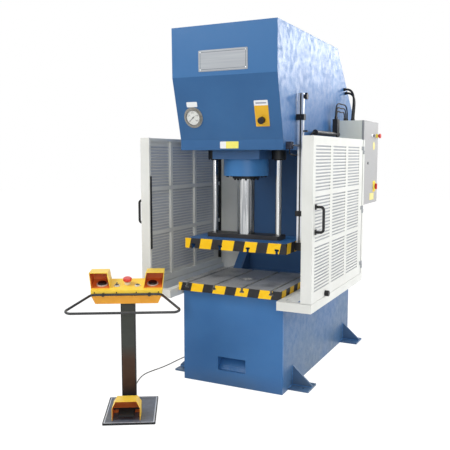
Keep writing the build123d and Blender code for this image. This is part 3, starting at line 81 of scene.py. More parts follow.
def settle(piece, place=None):
    # the piece's place goes into its mesh
    if place is not None:
        piece.matrix_world = place @ piece.matrix_world
    pick(piece)
    bpy.ops.object.transform_apply(location=True, rotation=True, scale=True)
    return piece


def finishPiece(piece, body, finishName, place=None):
    settle(piece, place)
    bpy.ops.object.shade_smooth_by_angle(angle=radians(30))
    piece.data.materials.clear()
    piece.data.materials.append(finishes[finishName])
    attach(piece, body)


def copyPiece(piece, name, place):
    twin = piece.copy()
    twin.data = piece.data.copy()
    twin.name = name
    bpy.context.collection.objects.link(twin)
    twin.data.transform(place)
    return twin


def addPiece(name, add, **settings):
    # what one operator adds, under the name given
    clearSelection()
    add(**settings)
    bpy.context.object.name = name
    return bpy.context.object


def discard(*pieces):
    for piece in pieces:
        bpy.data.objects.remove(piece)


def turnedPiece(name, profile, steps):
    # a profile of (radius, height) points, extruded step by step and spun about Z
    piece = addPiece(name, bpy.ops.mesh.primitive_plane_add, size=0.001)
    bpy.ops.object.mode_set(mode="EDIT")
    bpy.ops.mesh.select_mode(type="VERT")
    bpy.ops.mesh.select_all(action="SELECT")
    bpy.ops.mesh.merge(type="CENTER")
    bpy.ops.transform.translate(value=(profile[0][0], 0, profile[0][1]))
    for (lastR, lastZ), (nextR, nextZ) in zip(profile, profile[1:]):
        bpy.ops.mesh.extrude_region_move(TRANSFORM_OT_translate={"value": (nextR - lastR, 0, nextZ - lastZ)})
    bpy.ops.mesh.select_all(action="SELECT")
    bpy.ops.mesh.spin(steps=steps, angle=2 * pi, center=(0, 0, 0), axis=(0, 0, 1))
    bpy.ops.mesh.select_all(action="SELECT")
    bpy.ops.mesh.remove_doubles(threshold=0.00001)
    bpy.ops.mesh.normals_make_consistent(inside=False)
    bpy.ops.object.mode_set(mode="OBJECT")
    return piece


def boxPiece(name, low, high, edge=0.001):
    low, high = Vector(low), Vector(high)
    piece = settle(addPiece(name, bpy.ops.mesh.primitive_cube_add, size=1, location=(low + high) / 2,
                            scale=high - low))
    roundEdges(piece, edge)
    return piece


def ringPiece(name, inner, outer, low, high, steps):
    # a ring with its outer edges taken off
    edge = min(high - low, outer - inner) * 0.25
    return turnedPiece(name, [(inner, low), (outer, low), (outer, high - edge), (outer - edge, high),
                              (inner, high), (inner, low)], steps)


def weldBead(name, length, radius):
    # a rippled bead along Z
    count = max(6, int(length / 0.007))
    profile = [(0, 0)]
    for index in range(count):
        thick = radius * (0.86 if index % 2 else 1.0)
        profile.append((thick, length * (index + 0.5) / count))
    return turnedPiece(name, profile + [(0, length)], 10)


def rimPlate(name, width, height, thick, rim, raised):
    # a thin plate with a raised rim, face towards Z
    piece = settle(addPiece(name, bpy.ops.mesh.primitive_cube_add, size=1, location=(0, 0, thick / 2),
                            scale=(width, height, thick)))
    topFace = max(piece.data.polygons, key=lambda face: face.center.z).index
    for face in piece.data.polygons:
        face.select = face.index == topFace
    bpy.ops.object.mode_set(mode="EDIT")
    bpy.ops.mesh.select_mode(type="FACE")
    bpy.ops.mesh.inset(thickness=rim)
    bpy.ops.mesh.extrude_region_move(TRANSFORM_OT_translate={"value": (0, 0, -raised)})
    bpy.ops.object.mode_set(mode="OBJECT")
    roundEdges(piece, 0.0004, 1)
    return piece


def textPiece(name, words, size, thick):
    piece = addPiece(name, bpy.ops.object.text_add)
    piece.data.body = words
    piece.data.size = size
    piece.data.extrude = thick / 2
    piece.data.align_x = piece.data.align_y = "CENTER"
    piece.data.resolution_u = 3
    bpy.ops.object.convert(target="MESH")
    return bpy.context.object


def hexHead(name, acrossFlats, height):
    # bolt head with its edges taken off
    piece = settle(addPiece(name, bpy.ops.mesh.primitive_cylinder_add, vertices=6,
                            radius=acrossFlats / 1.732, depth=height, location=(0, 0, height / 2)))
    roundEdges(piece, height * 0.14)
    return piece


# a shader socket with arithmetic
class Signal:
    def __init__(self, finish, socket):
        self.finish = finish
        self.socket = socket

    def maths(self, operation, *values):
        return self.finish.node("ShaderNodeMath", {"operation": operation}, dict(enumerate(values)))

    def __add__(self, other):
        return self.maths("ADD", self, other)

    def __radd__(self, other):
        return self.maths("ADD", other, self)

    def __sub__(self, other):
        return self.maths("SUBTRACT", self, other)

    def __rsub__(self, other):
        return self.maths("SUBTRACT", other, self)

    def __mul__(self, other):
        return self.maths("MULTIPLY", self, other)

    def __rmul__(self, other):
        return self.maths("MULTIPLY", other, self)

    def __gt__(self, other):
        return self.maths("GREATER_THAN", self, other)

    def __lt__(self, other):
        return self.maths("LESS_THAN", self, other)

    def size(self):
        return self.maths("ABSOLUTE", self)

    def least(self, other):
        return self.maths("MINIMUM", self, other)

    def within(self, low, high):
        return (self > low) * (self < high)


def tint(red, green, blue):
    # screen colour, 0 to 255, as the linear colour a shader takes
    return tuple((c / 255 / 12.92 if c < 10 else ((c / 255 + 0.055) / 1.055) ** 2.4)
                 for c in (red, green, blue)) + (1.0,)


class Finish:
    def __init__(self, name):
        self.material = bpy.data.materials.new(name)
        self.material.use_nodes = True
        self.tree = self.material.node_tree
        self.shader = self.tree.nodes["Principled BSDF"]
        self.coordinates = self.node("ShaderNodeTexCoord", {}, {}, "Object")

    def node(self, kind, settings, inputs, output=0):
        made = self.tree.nodes.new(kind)
        for key, value in settings.items():
            if key == "stops":
                ramp = made.color_ramp
                while len(ramp.elements) < len(value):
                    ramp.elements.new(0.5)
                for element, (position, colour) in zip(ramp.elements, value):
                    element.position = position
                    element.color = colour
            else:
                setattr(made, key, value)
        for key, value in inputs.items():
            self.feed(made.inputs[key], value)
        return Signal(self, made.outputs[output])

    def feed(self, socket, value):
        if isinstance(value, Signal):
            self.tree.links.new(value.socket, socket)
        else:
            socket.default_value = value

    def set(self, **values):
        for key, value in values.items():
            self.feed(self.shader.inputs[key.replace("_", " ")], value)

    def axes(self, place=None):
        split = self.node("ShaderNodeSeparateXYZ", {}, {0: place or self.coordinates})
        return [Signal(self, output) for output in split.socket.node.outputs]

    def noise(self, scale, detail, roughness=0.55, stretch=None):
        place = self.coordinates
        if stretch:
            place = self.node("ShaderNodeMapping", {}, {"Vector": place, "Scale": stretch})
        return self.node("ShaderNodeTexNoise", {}, {"Vector": place, "Scale": scale, "Detail": detail,
                                                    "Roughness": roughness})

    def specks(self, scale):
        return self.ramp(self.noise(scale, 2), (0.66, 0.0), (0.74, 1.0))

    def ramp(self, signal, *stops):
        # grey stops, each (position, brightness)
        grey = [(position, (level, level, level, 1)) for position, level in stops]
        return self.node("ShaderNodeValToRGB", {"stops": grey}, {0: signal})

    def blend(self, factor, first, second):
        # a plain colour is given as it shows on screen, 0 to 255
        pair = [tint(*colour) if isinstance(colour, tuple) else colour for colour in (first, second)]
        return self.node("ShaderNodeMix", {"data_type": "RGBA"}, {0: factor, 6: pair[0], 7: pair[1]}, 2)

    def twoTone(self, signal, look, low=0.35, high=0.7):
        return self.blend(self.ramp(signal, (low, 0.0), (high, 1.0)), look["colour"], look["paler"])

    def relief(self, height, depth, edge=0.0):
        inputs = {"Height": height, "Distance": depth, "Strength": 0.6}
        if edge:
            inputs["Normal"] = self.node("ShaderNodeBevel", {"samples": 4}, {"Radius": edge})
        self.set(Normal=self.node("ShaderNodeBump", {}, inputs))


# finishes

# what the looks below leave out
paintBase = {"marks": 0.10, "speckScale": 90, "blotch": 0.04, "blotchScale": 26, "waves": 0.0,
             "peelScale": 260, "peelDepth": 0.0004, "dustShare": 0.8, "coat": 0.0, "specular": 0.35,
             "edge": 0.0015}
metalBase = {"metallic": 0.9, "lineScale": 40, "stretch": (1, 12, 12), "stainScale": 9, "stains": 0.35,
             "stain": (40, 36, 32), "depth": 0.0002, "edge": 0.0008}
plasticBase = {"cloudScale": 14, "coat": 0.0, "specular": 0.35, "grain": 600, "depth": 0.00015, "edge": 0.001}


def sprayedPaint(name, look):
    # enamel: a faint cloud, pale specks, orange peel, dust towards the floor, and where a look asks, painted
    # light above a height and a painted shade tone on the inner faces
    look = {**paintBase, **look}
    paint = Finish(name)
    cloud = paint.noise(look["cloudScale"], 4)
    body = paint.twoTone(cloud, look, high=0.68)
    marks = paint.specks(look["speckScale"]) * look["marks"]
    body = paint.blend(marks, body, look.get("markColour", look["paler"]))
    # painted light: a lighter tone above a given height, for a face that catches more light
    if "sunned" in look:
        body = paint.blend((paint.axes()[2] > look["sunnedFrom"]) * 0.9, body, look["sunned"])
    # painted shade tone: a greyer blue on the frame's inner faces, for the look of the shaded throat
    if "inner" in look:
        body = paint.blend(paint.axes()[0].size() < look["innerX"], body, look["inner"])
    if "dust" in look:
        low = paint.ramp(paint.axes()[2] * (1 / look["dustHeight"]), (0.0, 1.0), (1.0, 0.0))
        patches = paint.ramp(cloud, (0.3, 0.3), (0.7, 1.0))
        body = paint.blend(low * patches * look["dustShare"], body, look["dust"])
    blotch = paint.noise(look["blotchScale"], 5, 0.65)
    gloss = look["roughness"]
    paint.set(Base_Color=body, Coat_Weight=look["coat"], Specular_IOR_Level=look["specular"],
              Roughness=paint.ramp(blotch, (0.36, gloss - look["blotch"]), (0.64, gloss + look["blotch"])))
    peel = paint.noise(look["peelScale"], 2) + blotch * look["waves"]
    paint.relief(peel, look["peelDepth"], look["edge"])
    return paint.material


def wroughtSteel(name, look):
    # bare or oxided steel with machining lines along one axis
    look = {**metalBase, **look}
    steel = Finish(name)
    lines = steel.noise(look["lineScale"], 3, 0.6, look["stretch"])
    stain = steel.ramp(steel.noise(look["stainScale"], 5), (0.5, 0.0), (0.75, 1.0))
    body = steel.blend(stain * look["stains"], steel.twoTone(lines, look, 0.3), look["stain"])
    gloss = look["roughness"]
    steel.set(Base_Color=body, Metallic=look["metallic"],
              Roughness=steel.ramp(lines, (0.2, gloss - 0.08), (0.8, gloss + 0.1)))
    steel.relief(lines, look["depth"], look["edge"])
    return steel.material


def mouldedPlastic(name, look):
    look = {**plasticBase, **look}
    plastic = Finish(name)
    cloud = plastic.noise(look["cloudScale"], 3)
    gloss = look["roughness"]
    plastic.set(Base_Color=plastic.twoTone(cloud, look), Coat_Weight=look["coat"], Coat_Roughness=0.15,
                Specular_IOR_Level=look["specular"],
                Roughness=plastic.ramp(cloud, (0.3, gloss), (0.7, gloss + 0.08)))
    plastic.relief(plastic.noise(look["grain"], 2), look["depth"], look["edge"])
    return plastic.material


def shades(colour, paler, roughness, **others):
    return {"colour": colour, "paler": paler, "roughness": roughness, **others}


blue = {"roughness": 0.4, "cloudScale": 2.2, "peelDepth": 0.0008, "markColour": (84, 130, 182),
        "blotch": 0.10, "blotchScale": 15, "waves": 1.1}
paints = {
    # frame: the inner colour is the painted shade tone of the throat
    "frame_blue": shades((46, 98, 154), (54, 108, 164), dust=(92, 104, 108), dustHeight=0.85,
                         inner=(60, 98, 144), innerX=0.330, **blue),
    # head cover: a darker blue than the frame for painted shade on its downward slope, and a lighter tone
    # above the upper fold for painted light on its top face
    "head_blue": shades((44, 90, 138), (50, 98, 147), sunned=(54, 106, 158), sunnedFrom=2.2049, **blue),
    "cylinder_blue": shades((52, 108, 164), (64, 122, 178), **blue),
    # cabinet box: a lighter copy of the door's paint, painted light on its shaded side
    "cabinet_grey": shades((236, 238, 226), (243, 245, 234), 0.52, cloudScale=4, peelScale=520,
                           peelDepth=0.0008, marks=0.05),
    "tank_grey": shades((124, 130, 134), (136, 142, 146), 0.55, cloudScale=4),
    "motor_blue": shades((60, 84, 116), (70, 96, 130), 0.5, cloudScale=6),
    "switch_grey": shades((34, 37, 52), (58, 62, 82), 0.25, cloudScale=20, peelScale=700),
    "ring_dark": shades((24, 26, 28), (38, 40, 42), 0.3, cloudScale=12, coat=0.3),
    "slide_blue": shades((40, 92, 146), (52, 104, 160), **blue),
    "crosshead_dark": shades((38, 37, 39), (52, 50, 50), 0.42, cloudScale=8),
    "base_front_plate": shades((52, 104, 160), (60, 114, 170), dust=(70, 92, 118), dustHeight=0.12, **blue),
    # slats: a darker copy of the guard's paint, painted shade in the windows
    "slatGrey": shades((186, 189, 195), (196, 199, 204), 0.5, cloudScale=4, peelScale=500),
    "weld": {**blue, "colour": (54, 106, 162), "paler": (82, 132, 186), "cloudScale": 60, "peelScale": 500,
             "peelDepth": 0.0012},
}
metals = {
    "table_steel": shades((164, 163, 161), (206, 205, 202), 0.42, metallic=0.35, stain=(56, 56, 58),
                          stainScale=7, stains=0.75, stretch=(14, 1, 1)),
    "valve_steel": shades((150, 152, 155), (170, 172, 175), 0.35),
    "lock_steel": shades((120, 122, 125), (150, 152, 155), 0.3, lineScale=200),
    "bush_black": shades((34, 36, 38), (48, 50, 53), 0.45, metallic=0.6),
    "bolt_black": shades((30, 31, 33), (44, 46, 48), 0.4, metallic=0.7, lineScale=200),
    "stop_black": shades((26, 27, 29), (38, 39, 41), 0.42, metallic=0.5),
    "pump_iron": shades((70, 70, 72), (84, 84, 86), 0.6, metallic=0.5),
    "gauge_case": shades((128, 126, 120), (158, 156, 150), 0.28, lineScale=120, stains=0.3,
                         stain=(84, 78, 70)),
    "pedal_black": shades((30, 30, 31), (42, 42, 43), 0.55, metallic=0.3),
    "brightRing": shades((198, 200, 203), (222, 223, 225), 0.24, lineScale=200, stains=0.05),
}
plastics = {
    "needle_black": shades((24, 24, 26), (30, 30, 32), 0.5, edge=0.0),
    "tape_yellow": shades((250, 196, 14), (253, 205, 30), 0.4, cloudScale=30, edge=0.0),
    "tape_black": shades((28, 28, 31), (38, 38, 42), 0.38, cloudScale=30, edge=0.0),
    "trunk_black": shades((26, 27, 30), (36, 38, 41), 0.42),
    "gland_black": shades((28, 28, 30), (36, 36, 39), 0.45),
    "knob_black": shades((20, 20, 22), (30, 30, 33), 0.34),
    "selector_black": shades((26, 26, 28), (34, 34, 37), 0.28, coat=0.4),
    "switch_red": shades((206, 46, 30), (218, 60, 42), 0.3, coat=0.4),
    "stop_red": shades((212, 50, 42), (224, 66, 56), 0.28, coat=0.5),
    "start_green": shades((32, 40, 36), (40, 50, 44), 0.3, coat=0.4),
    "cable_black": shades((96, 94, 88), (112, 108, 100), 0.5, edge=0.0),
    "console_base": shades((240, 162, 30), (246, 174, 44), 0.34, coat=0.3, grain=400),
    "blackRubber": shades((20, 20, 21), (30, 30, 32), 0.55),
    "dialPaper": shades((218, 219, 214), (228, 229, 225), 0.6, edge=0.0),
    "dialInk": shades((30, 30, 30), (42, 42, 42), 0.5, edge=0.0),
    "plainYellow": shades((240, 214, 70), (246, 222, 96), 0.45, edge=0.0),
    "paleYellow": shades((226, 212, 130), (234, 222, 150), 0.5, edge=0.0),
    "paleCollar": shades((212, 208, 196), (224, 220, 208), 0.4),
    "whiteLamp": shades((236, 238, 238), (244, 245, 245), 0.2, coat=0.4),
}

# by material slot, by node where a piece has a finish of its own, and by name for the trim
finishes = {}
for makeFinish, looks in ((sprayedPaint, paints), (wroughtSteel, metals), (mouldedPlastic, plastics)):
    for finishName, look in looks.items():
        finishes[finishName] = makeFinish(finishName, look)


def hardChrome():
    chrome = Finish("hardChrome")
    drawn = chrome.noise(140, 3, 0.6, (1, 1, 0.015))
    # drawn lines along the rod, plus light and dark streaks in the colour that are painted reflections
    reflectionStreak = chrome.ramp(drawn, (0.4, 0.0), (0.62, 1.0))
    chrome.set(Base_Color=chrome.blend(reflectionStreak, (150, 153, 157), (236, 237, 236)), Metallic=1.0,
               Roughness=chrome.ramp(drawn, (0.3, 0.12), (0.7, 0.24)))
    chrome.relief(drawn, 0.00005)
    return chrome.material


def conduitRubber(look):
    # ribs that follow the arcs over the cabinet
    rubber = Finish("conduitRubber")
    y, z = rubber.axes()[1:]
    turn = rubber.node("ShaderNodeMath", {"operation": "ARCTAN2"}, {0: y - look["y"], 1: z - look["z"]})
    ribs = rubber.node("ShaderNodeMath", {"operation": "SINE"}, {0: turn * look["rings"]})
    cloud = rubber.noise(30, 2)
    rubber.set(Base_Color=rubber.blend(cloud, (18, 19, 21), (30, 31, 34)), Roughness=0.5,
               Specular_IOR_Level=0.25)
    rubber.relief(ribs, 0.0012)
    return rubber.material


def plateFaces(look):
    # one sheet finish for the four plates, split by where they sit
    plates = Finish("plateFaces")
    x, z = plates.axes()[::2]
    grain = plates.noise(60, 2, 0.5, (1, 10, 10))
    white = plates.blend(grain, (226, 228, 230), (238, 239, 240))
    silver = plates.blend(plates.noise(6, 4, 0.6, (0.3, 1, 14)), (132, 136, 141), (166, 170, 174))
    yellow = plates.blend(plates.noise(20, 2), look["yellow"], look["yellowPale"])
    lemon = plates.blend(plates.noise(40, 2), look["lemon"], look["lemonPale"])
    isName = z > look["nameFrom"]
    isSetting = (x > look["settingX"]) * z.within(*look["settingZ"])
    face = plates.blend(isSetting * (z < look["settingWhite"]), white, yellow)
    band = isSetting * z.within(*look["bandZ"]) * x.within(*look["bandX"])
    face = plates.blend(band, face, (150, 154, 166))
    face = plates.blend((z < look["lipTo"]) * (x > look["lipWhiteTo"]), face, lemon)
    face = plates.blend(isName, face, silver)
    overX = look["nameHalf"][0] - x.size()
    overZ = look["nameHalf"][1] - (z - look["nameZ"]).size()
    face = plates.blend(isName * overX.least(overZ).within(*look["border"]), face, (70, 76, 84))
    plates.set(Base_Color=face, Metallic=isName * 0.45, Roughness=plates.ramp(grain, (0.2, 0.4), (0.8, 0.52)))
    plates.relief(grain, 0.0001, 0.0008)
    return plates.material


def railSteel(look):
    # bright plated bar, with painted shade (black) in its slot, and black on its welded foot
    rail = Finish("railSteel")
    x, y, z = rail.axes()
    lines = rail.noise(40, 3, 0.6, (12, 12, 1))
    bright = rail.blend(lines, (198, 201, 206), (222, 224, 227))
    slotShade = x.within(*look["slotX"]) * (y < look["slotFloor"])
    black = rail.blend(lines, (24, 24, 27), (36, 36, 39))
    dark = rail.node("ShaderNodeClamp", {}, {0: slotShade + (z < look["footTop"])})
    rail.set(Base_Color=rail.blend(dark, bright, black), Metallic=(1 - dark) * 0.85,
             Roughness=rail.ramp(lines, (0.2, 0.24), (0.8, 0.38)))
    rail.relief(lines, 0.0002, 0.0008)
    return rail.material


def switchBody(look):
    # black base with a red grip
    knob = Finish("mainSwitch")
    x = knob.axes()[0]
    cloud = knob.noise(30, 3)
    red = knob.blend(cloud, (206, 44, 32), (222, 62, 46))
    black = knob.blend(cloud, (28, 28, 30), (40, 40, 43))
    knob.set(Base_Color=knob.blend(x > look["redFrom"], black, red),
             Roughness=knob.ramp(cloud, (0.3, 0.28), (0.7, 0.36)))
    knob.relief(knob.noise(500, 2), 0.0001, 0.001)
    return knob.material


def doorPaintShaded(look):
    # cabinet door: textured grey, a darker copy of the cabinet's paint for painted shade, with the switch's
    # yellow plate
    door = Finish("doorPaintShaded")
    x, y, z = door.axes()
    cloud = door.noise(4, 4)
    # painted shade: the door's grey is darker than the same paint on the cabinet box
    grey = door.blend(cloud, (162, 162, 163), (173, 173, 174))
    yellow = door.blend(cloud, (240, 206, 40), (246, 216, 62))
    beside = (y - look["plateY"]).size() < look["plateHalf"][0]
    above = (z - look["plateZ"]).size() < look["plateHalf"][1]
    onPlate = beside * above * x.within(look["face"] + 0.0004, look["face"] + 0.003)
    door.set(Base_Color=door.blend(onPlate, grey, yellow),
             Roughness=door.ramp(cloud, (0.3, 0.46), (0.7, 0.56)))
    door.relief(door.noise(520, 2), 0.0006, 0.0015)
    return door.material


def guardPaint(look):
    # light grey powder coat, a darker grey on the hinge leaves
    guard = Finish("guardPaint")
    x, y, z = guard.axes()
    cloud = guard.noise(3, 4)
    sheet = guard.twoTone(cloud, look, high=0.68)
    sheet = guard.blend(guard.specks(90) * 0.06, sheet, (196, 199, 194))
    leaf = guard.blend(guard.noise(30, 3), (150, 154, 157), (172, 176, 179))
    beside = (x.size() > look["sheetFace"]) * y.within(*look["leafY"])
    nearAny = 0
    for height in look["hinges"]:
        nearAny = nearAny + z.within(height - look["leafHalf"], height + look["leafHalf"])
    guard.set(Base_Color=guard.blend(beside * nearAny, sheet, leaf),
              Roughness=guard.ramp(cloud, (0.3, 0.44), (0.7, 0.54)), Specular_IOR_Level=0.35)
    guard.relief(guard.noise(420, 2), 0.0005, 0.0015)
    return guard.material


def yellowMould(name, look):
    # yellow outside, and painted shade inside the hoods: a redder, darker tone
    mould = Finish(name)
    along, deep, z = mould.axes(standCoordinates(mould))
    cloud = mould.noise(look["cloudScale"], 3)
    outer = mould.twoTone(cloud, look)
    # inner: the colour of the painted shade inside the hoods
    inner = mould.blend(cloud, look["inside"], look["paintedShadePaler"])
    rise = z - look["footZ"]
    for (low, lowLean), (high, highLean) in look["hollows"]:
        inside = (along > low + rise * lowLean) * (along < high + rise * highLean)
        inside = inside * deep.within(*look["hollowY"]) * (z > look["hollowZ"] + deep * look["tilt"])
        if "shoulder" in look:
            steep = look["frontSteep"] - (deep - look["hollowY"][0]) * look["lessSteep"]
            inside = inside * (rise < steep * (look["shoulder"] - (along - look["middle"]).size()))
        outer = mould.blend(inside * (z < look["hollowTop"] + deep * look["topTilt"]), outer, inner)
    mould.set(Base_Color=outer, Roughness=mould.ramp(cloud, (0.3, 0.34), (0.7, 0.42)),
              Specular_IOR_Level=0.35)
    mould.relief(mould.noise(400, 2), 0.0002, 0.001)
    return mould.material


def clearLens():
    lens = Finish("clearLens")
    haze = lens.noise(12, 3)
    lens.set(Base_Color=(1, 1, 1, 1), Roughness=0.03, Alpha=lens.ramp(haze, (0.3, 0.05), (0.7, 0.09)))
    return lens.material


def standCoordinates(finish):
    # across, deep and up as the stand itself is turned
    turn = radians(standLook["turn"])
    shiftX = -(standLook["x"] * cos(turn) + standLook["y"] * sin(turn))
    shiftY = -(standLook["y"] * cos(turn) - standLook["x"] * sin(turn))
    return finish.node("ShaderNodeMapping", {}, {
        "Vector": finish.coordinates, "Location": (shiftX, shiftY, 0), "Rotation": (0, 0, -turn)})


def standPaint(look):
    # worn black enamel: greenish above, a painted brown reflection below, black at the tube's corners, and
    # the floor plate painted grey on top for the light it reflects, with a painted highlight line inside its
    # black rim
    stand = Finish("standPaint")
    along, deep, z = stand.axes(standCoordinates(stand))
    wear = stand.noise(26, 5, 0.6)
    upper = stand.blend(wear, (52, 55, 52), (66, 69, 64))
    # lower: a painted brown reflection on the lower post
    lower = stand.blend(wear, (58, 38, 27), (76, 52, 38))
    body = stand.blend(stand.ramp(z, *look["brownReflectionFade"]), upper, lower)
    black = stand.blend(wear, (18, 17, 18), (28, 27, 28))
    offMiddle = (along - look["postX"]).size()
    body = stand.blend(offMiddle > look["postHalf"] - look["corner"], body, black)
    body = stand.blend(stand.ramp(z, *look["blackFade"]), body, black)
    # the plate's top, painted grey for the light it reflects from above; its black rim is the paint's own
    # colour
    plate = stand.blend(stand.ramp(wear, (0.4, 0.0), (0.7, 1.0)), (86, 92, 104), (108, 114, 126))
    fromEdge = (look["halfWidth"] - along.size()).least(look["halfDepth"] - deep.size())
    # painted highlight: a pale line just inside the plate's black rim
    plate = stand.blend(fromEdge.within(look["rim"], 2 * look["rim"]), plate, (196, 202, 212))
    plate = stand.blend(fromEdge < look["rim"], plate, (26, 28, 32))
    body = stand.blend(z < look["plateTop"], body, plate)
    body = stand.blend(z < look["sheetTop"], body, (24, 26, 29))
    stand.set(Base_Color=body, Roughness=stand.ramp(wear, (0.3, 0.4), (0.7, 0.55)),
              Specular_IOR_Level=0.3)
    stand.relief(wear, 0.0003, 0.001)
    return stand.material


plateLook = {"yellow": (222, 168, 24), "yellowPale": (230, 180, 38), "lemon": (236, 226, 96),
             "lemonPale": (242, 234, 124), "nameFrom": 2.15, "settingX": 0.2, "settingZ": (1.85, 2.1),
             "settingWhite": 1.9992, "bandZ": (2.0105, 2.0195), "bandX": (0.218, 0.296), "lipTo": 1.8,
             "lipWhiteTo": -0.032, "nameHalf": (0.184, 0.071), "nameZ": 2.305, "border": (0.013, 0.0155)}
conduitLook = {"y": 0.34, "z": 1.978, "rings": 150}
railLook = {"slotX": (0.4207, 0.4313), "slotFloor": -0.5857, "footTop": 1.0551}
switchLook = {"redFrom": 0.6341}
doorLook = {"face": 0.620, "plateY": 0.786, "plateZ": 1.399, "plateHalf": (0.0385, 0.0485)}
standLook = {"turn": 30, "x": -0.390, "y": -1.508, "postX": -0.028, "postHalf": 0.0475, "corner": 0.0055,
             "halfWidth": 0.165, "halfDepth": 0.220, "rim": 0.007, "plateTop": 0.0125, "sheetTop": 0.0100,
             "brownReflectionFade": ((0.30, 1.0), (0.40, 0.0)), "blackFade": ((0.06, 1.0), (0.13, 0.0))}
hingeHeights = (0.783, 1.2355, 1.710)
coatLook = {"colour": (218, 219, 214), "paler": (227, 228, 224), "sheetFace": 0.6515,
            "leafY": (0.218, 0.311), "leafHalf": 0.031, "hinges": hingeHeights}
# the inside colours: painted shade in the hollows of the console's hoods
shroudLook = {"colour": (255, 210, 58), "paler": (255, 220, 84), "inside": (232, 124, 56),
              "paintedShadePaler": (240, 140, 68), "cloudScale": 14, "footZ": 0.7763, "hollowY": (0.101, 0.2475),
              "hollows": (((-0.2575, -0.11), (-0.1325, -0.188)), ((0.0765, 0.188), (0.2015, 0.11))),
              "hollowZ": 0.7750, "tilt": 0.2333, "hollowTop": 0.9005, "topTilt": 0.0}
# the inside colours: painted shade under the pedal hood
treadHoodLook = {"colour": (253, 202, 48), "paler": (255, 216, 78), "inside": (212, 106, 46),
                 "paintedShadePaler": (226, 124, 58), "cloudScale": 9, "hollows": (((-0.1068, 0), (0.0668, 0)),),
                 "footZ": 0.085, "shoulder": 0.089, "middle": -0.020, "frontSteep": 2.087, "lessSteep": 4.61,
                 "hollowY": (-0.182, -0.0500), "hollowZ": 0.0, "tilt": 0.0, "hollowTop": 0.1148,
                 "topTilt": -0.106}
finishes.update(chrome_rod=hardChrome(), conduit_black=conduitRubber(conduitLook),
                plate_pale=plateFaces(plateLook), rail_steel=railSteel(railLook),
                stand_dark=standPaint(standLook), guard_pale=guardPaint(coatLook),
                console_yellow=yellowMould("consoleYellow", shroudLook),
                hood_yellow=yellowMould("hoodYellow", treadHoodLook),
                main_switch=switchBody(switchLook), cabinet_door=doorPaintShaded(doorLook), lens=clearLens())
for part in frame["record"]["subparts"]:
    mesh = frame["nodes"][part["node"]].data
    mesh.materials.clear()
    mesh.materials.append(finishes.get(part["node"], finishes[part["material_slot"]]))
print("finishes done")


# camera, floor and light

cameraLook = {"eye": (1.947, -4.827, 1.668), "turn": (90 - 6.24, 0, 26.47), "lens": 50.78, "sensor": 36}
lightRig = {
    "keyLeft": {"at": (-2.6, -4.6, 5.0), "aim": (0, -0.7, 1.5), "size": 2.6, "power": 175},
    "frontRight": {"at": (2.8, -5.8, 2.7), "aim": (0.2, -0.6, 1.1), "size": 2.4, "power": 85},
    "fillRight": {"at": (5.0, 0.6, 3.0), "aim": (0.4, -0.2, 1.3), "size": 2.8, "power": 140},
    "sheenBack": {"at": (2.38, 4.0, 3.30), "aim": (0.4, -0.4, 2.3), "size": 2.2, "height": 1.2, "power": 80},
    "topSoft": {"at": (0, -0.8, 5.6), "aim": (0, -0.5, 0), "size": 4.0, "power": 40},
}
roomLook = {"ambient": 0.3, "floorSize": 40, "glow": 0.82, "white": 1.2}


def makeCamera(look):
    clearSelection()
    bpy.ops.object.camera_add(location=look["eye"], rotation=[radians(a) for a in look["turn"]])
    camera = bpy.context.object
    camera.data.lens = look["lens"]
    camera.data.sensor_width = look["sensor"]
    camera.data.clip_end = 60
    bpy.context.scene.camera = camera


def makeLights(rig):
    for name, look in rig.items():
        aim = Vector(look["aim"]) - Vector(look["at"])
        lamp = addPiece(name, bpy.ops.object.light_add, type="AREA", location=look["at"],
                        rotation=aim.to_track_quat("-Z", "Y").to_euler())
        lamp.data.energy = look["power"]
        lamp.data.shape = "RECTANGLE"
        lamp.data.size = look["size"]
        lamp.data.size_y = look.get("height", look["size"])


def seenDirectly(tree):
    # one for the camera and for sharp reflections and glass, nothing for soft light
    path = tree.nodes.new("ShaderNodeLightPath")
    seen = path.outputs["Is Camera Ray"]
    for name in ("Is Glossy Ray", "Is Transmission Ray"):
        either = tree.nodes.new("ShaderNodeMath")
        either.operation = "MAXIMUM"
        tree.links.new(seen, either.inputs[0])
        tree.links.new(path.outputs[name], either.inputs[1])
        seen = either.outputs[0]
    return seen


def whiteRoom(look):
    world = bpy.data.worlds.new("whiteRoom")
    bpy.context.scene.world = world
    world.use_nodes = True
    tree = world.node_tree
    background = tree.nodes["Background"]
    level = tree.nodes.new("ShaderNodeMath")
    level.operation = "MULTIPLY_ADD"
    level.inputs[1].default_value = 1 - look["ambient"]
    level.inputs[2].default_value = look["ambient"]
    tree.links.new(seenDirectly(tree), level.inputs[0])
    tree.links.new(level.outputs[0], background.inputs["Strength"])
    background.inputs["Color"].default_value = (1, 1, 1, 1)


def makeFloor(look):
    floor = addPiece("studioFloor", bpy.ops.mesh.primitive_plane_add, size=look["floorSize"])
    paper = Finish("floorPaper")
    paper.set(Base_Color=tint(238, 238, 238), Roughness=0.9)
    seen = Signal(paper, seenDirectly(paper.tree))
    bright = paper.node("ShaderNodeEmission", {}, {"Color": (1, 1, 1, 1), "Strength": look["white"]})
    mixed = paper.node("ShaderNodeMixShader", {}, {0: seen * look["glow"],
                                                   1: Signal(paper, paper.shader.outputs[0]), 2: bright})
    paper.feed(paper.tree.nodes["Material Output"].inputs["Surface"], mixed)
    floor.data.materials.append(paper.material)


makeCamera(cameraLook)
makeLights(lightRig)
whiteRoom(roomLook)
makeFloor(roomLook)
bpy.context.scene.view_settings.view_transform = "Standard"
print("stage done")


# the cable on the floor, and its two glands

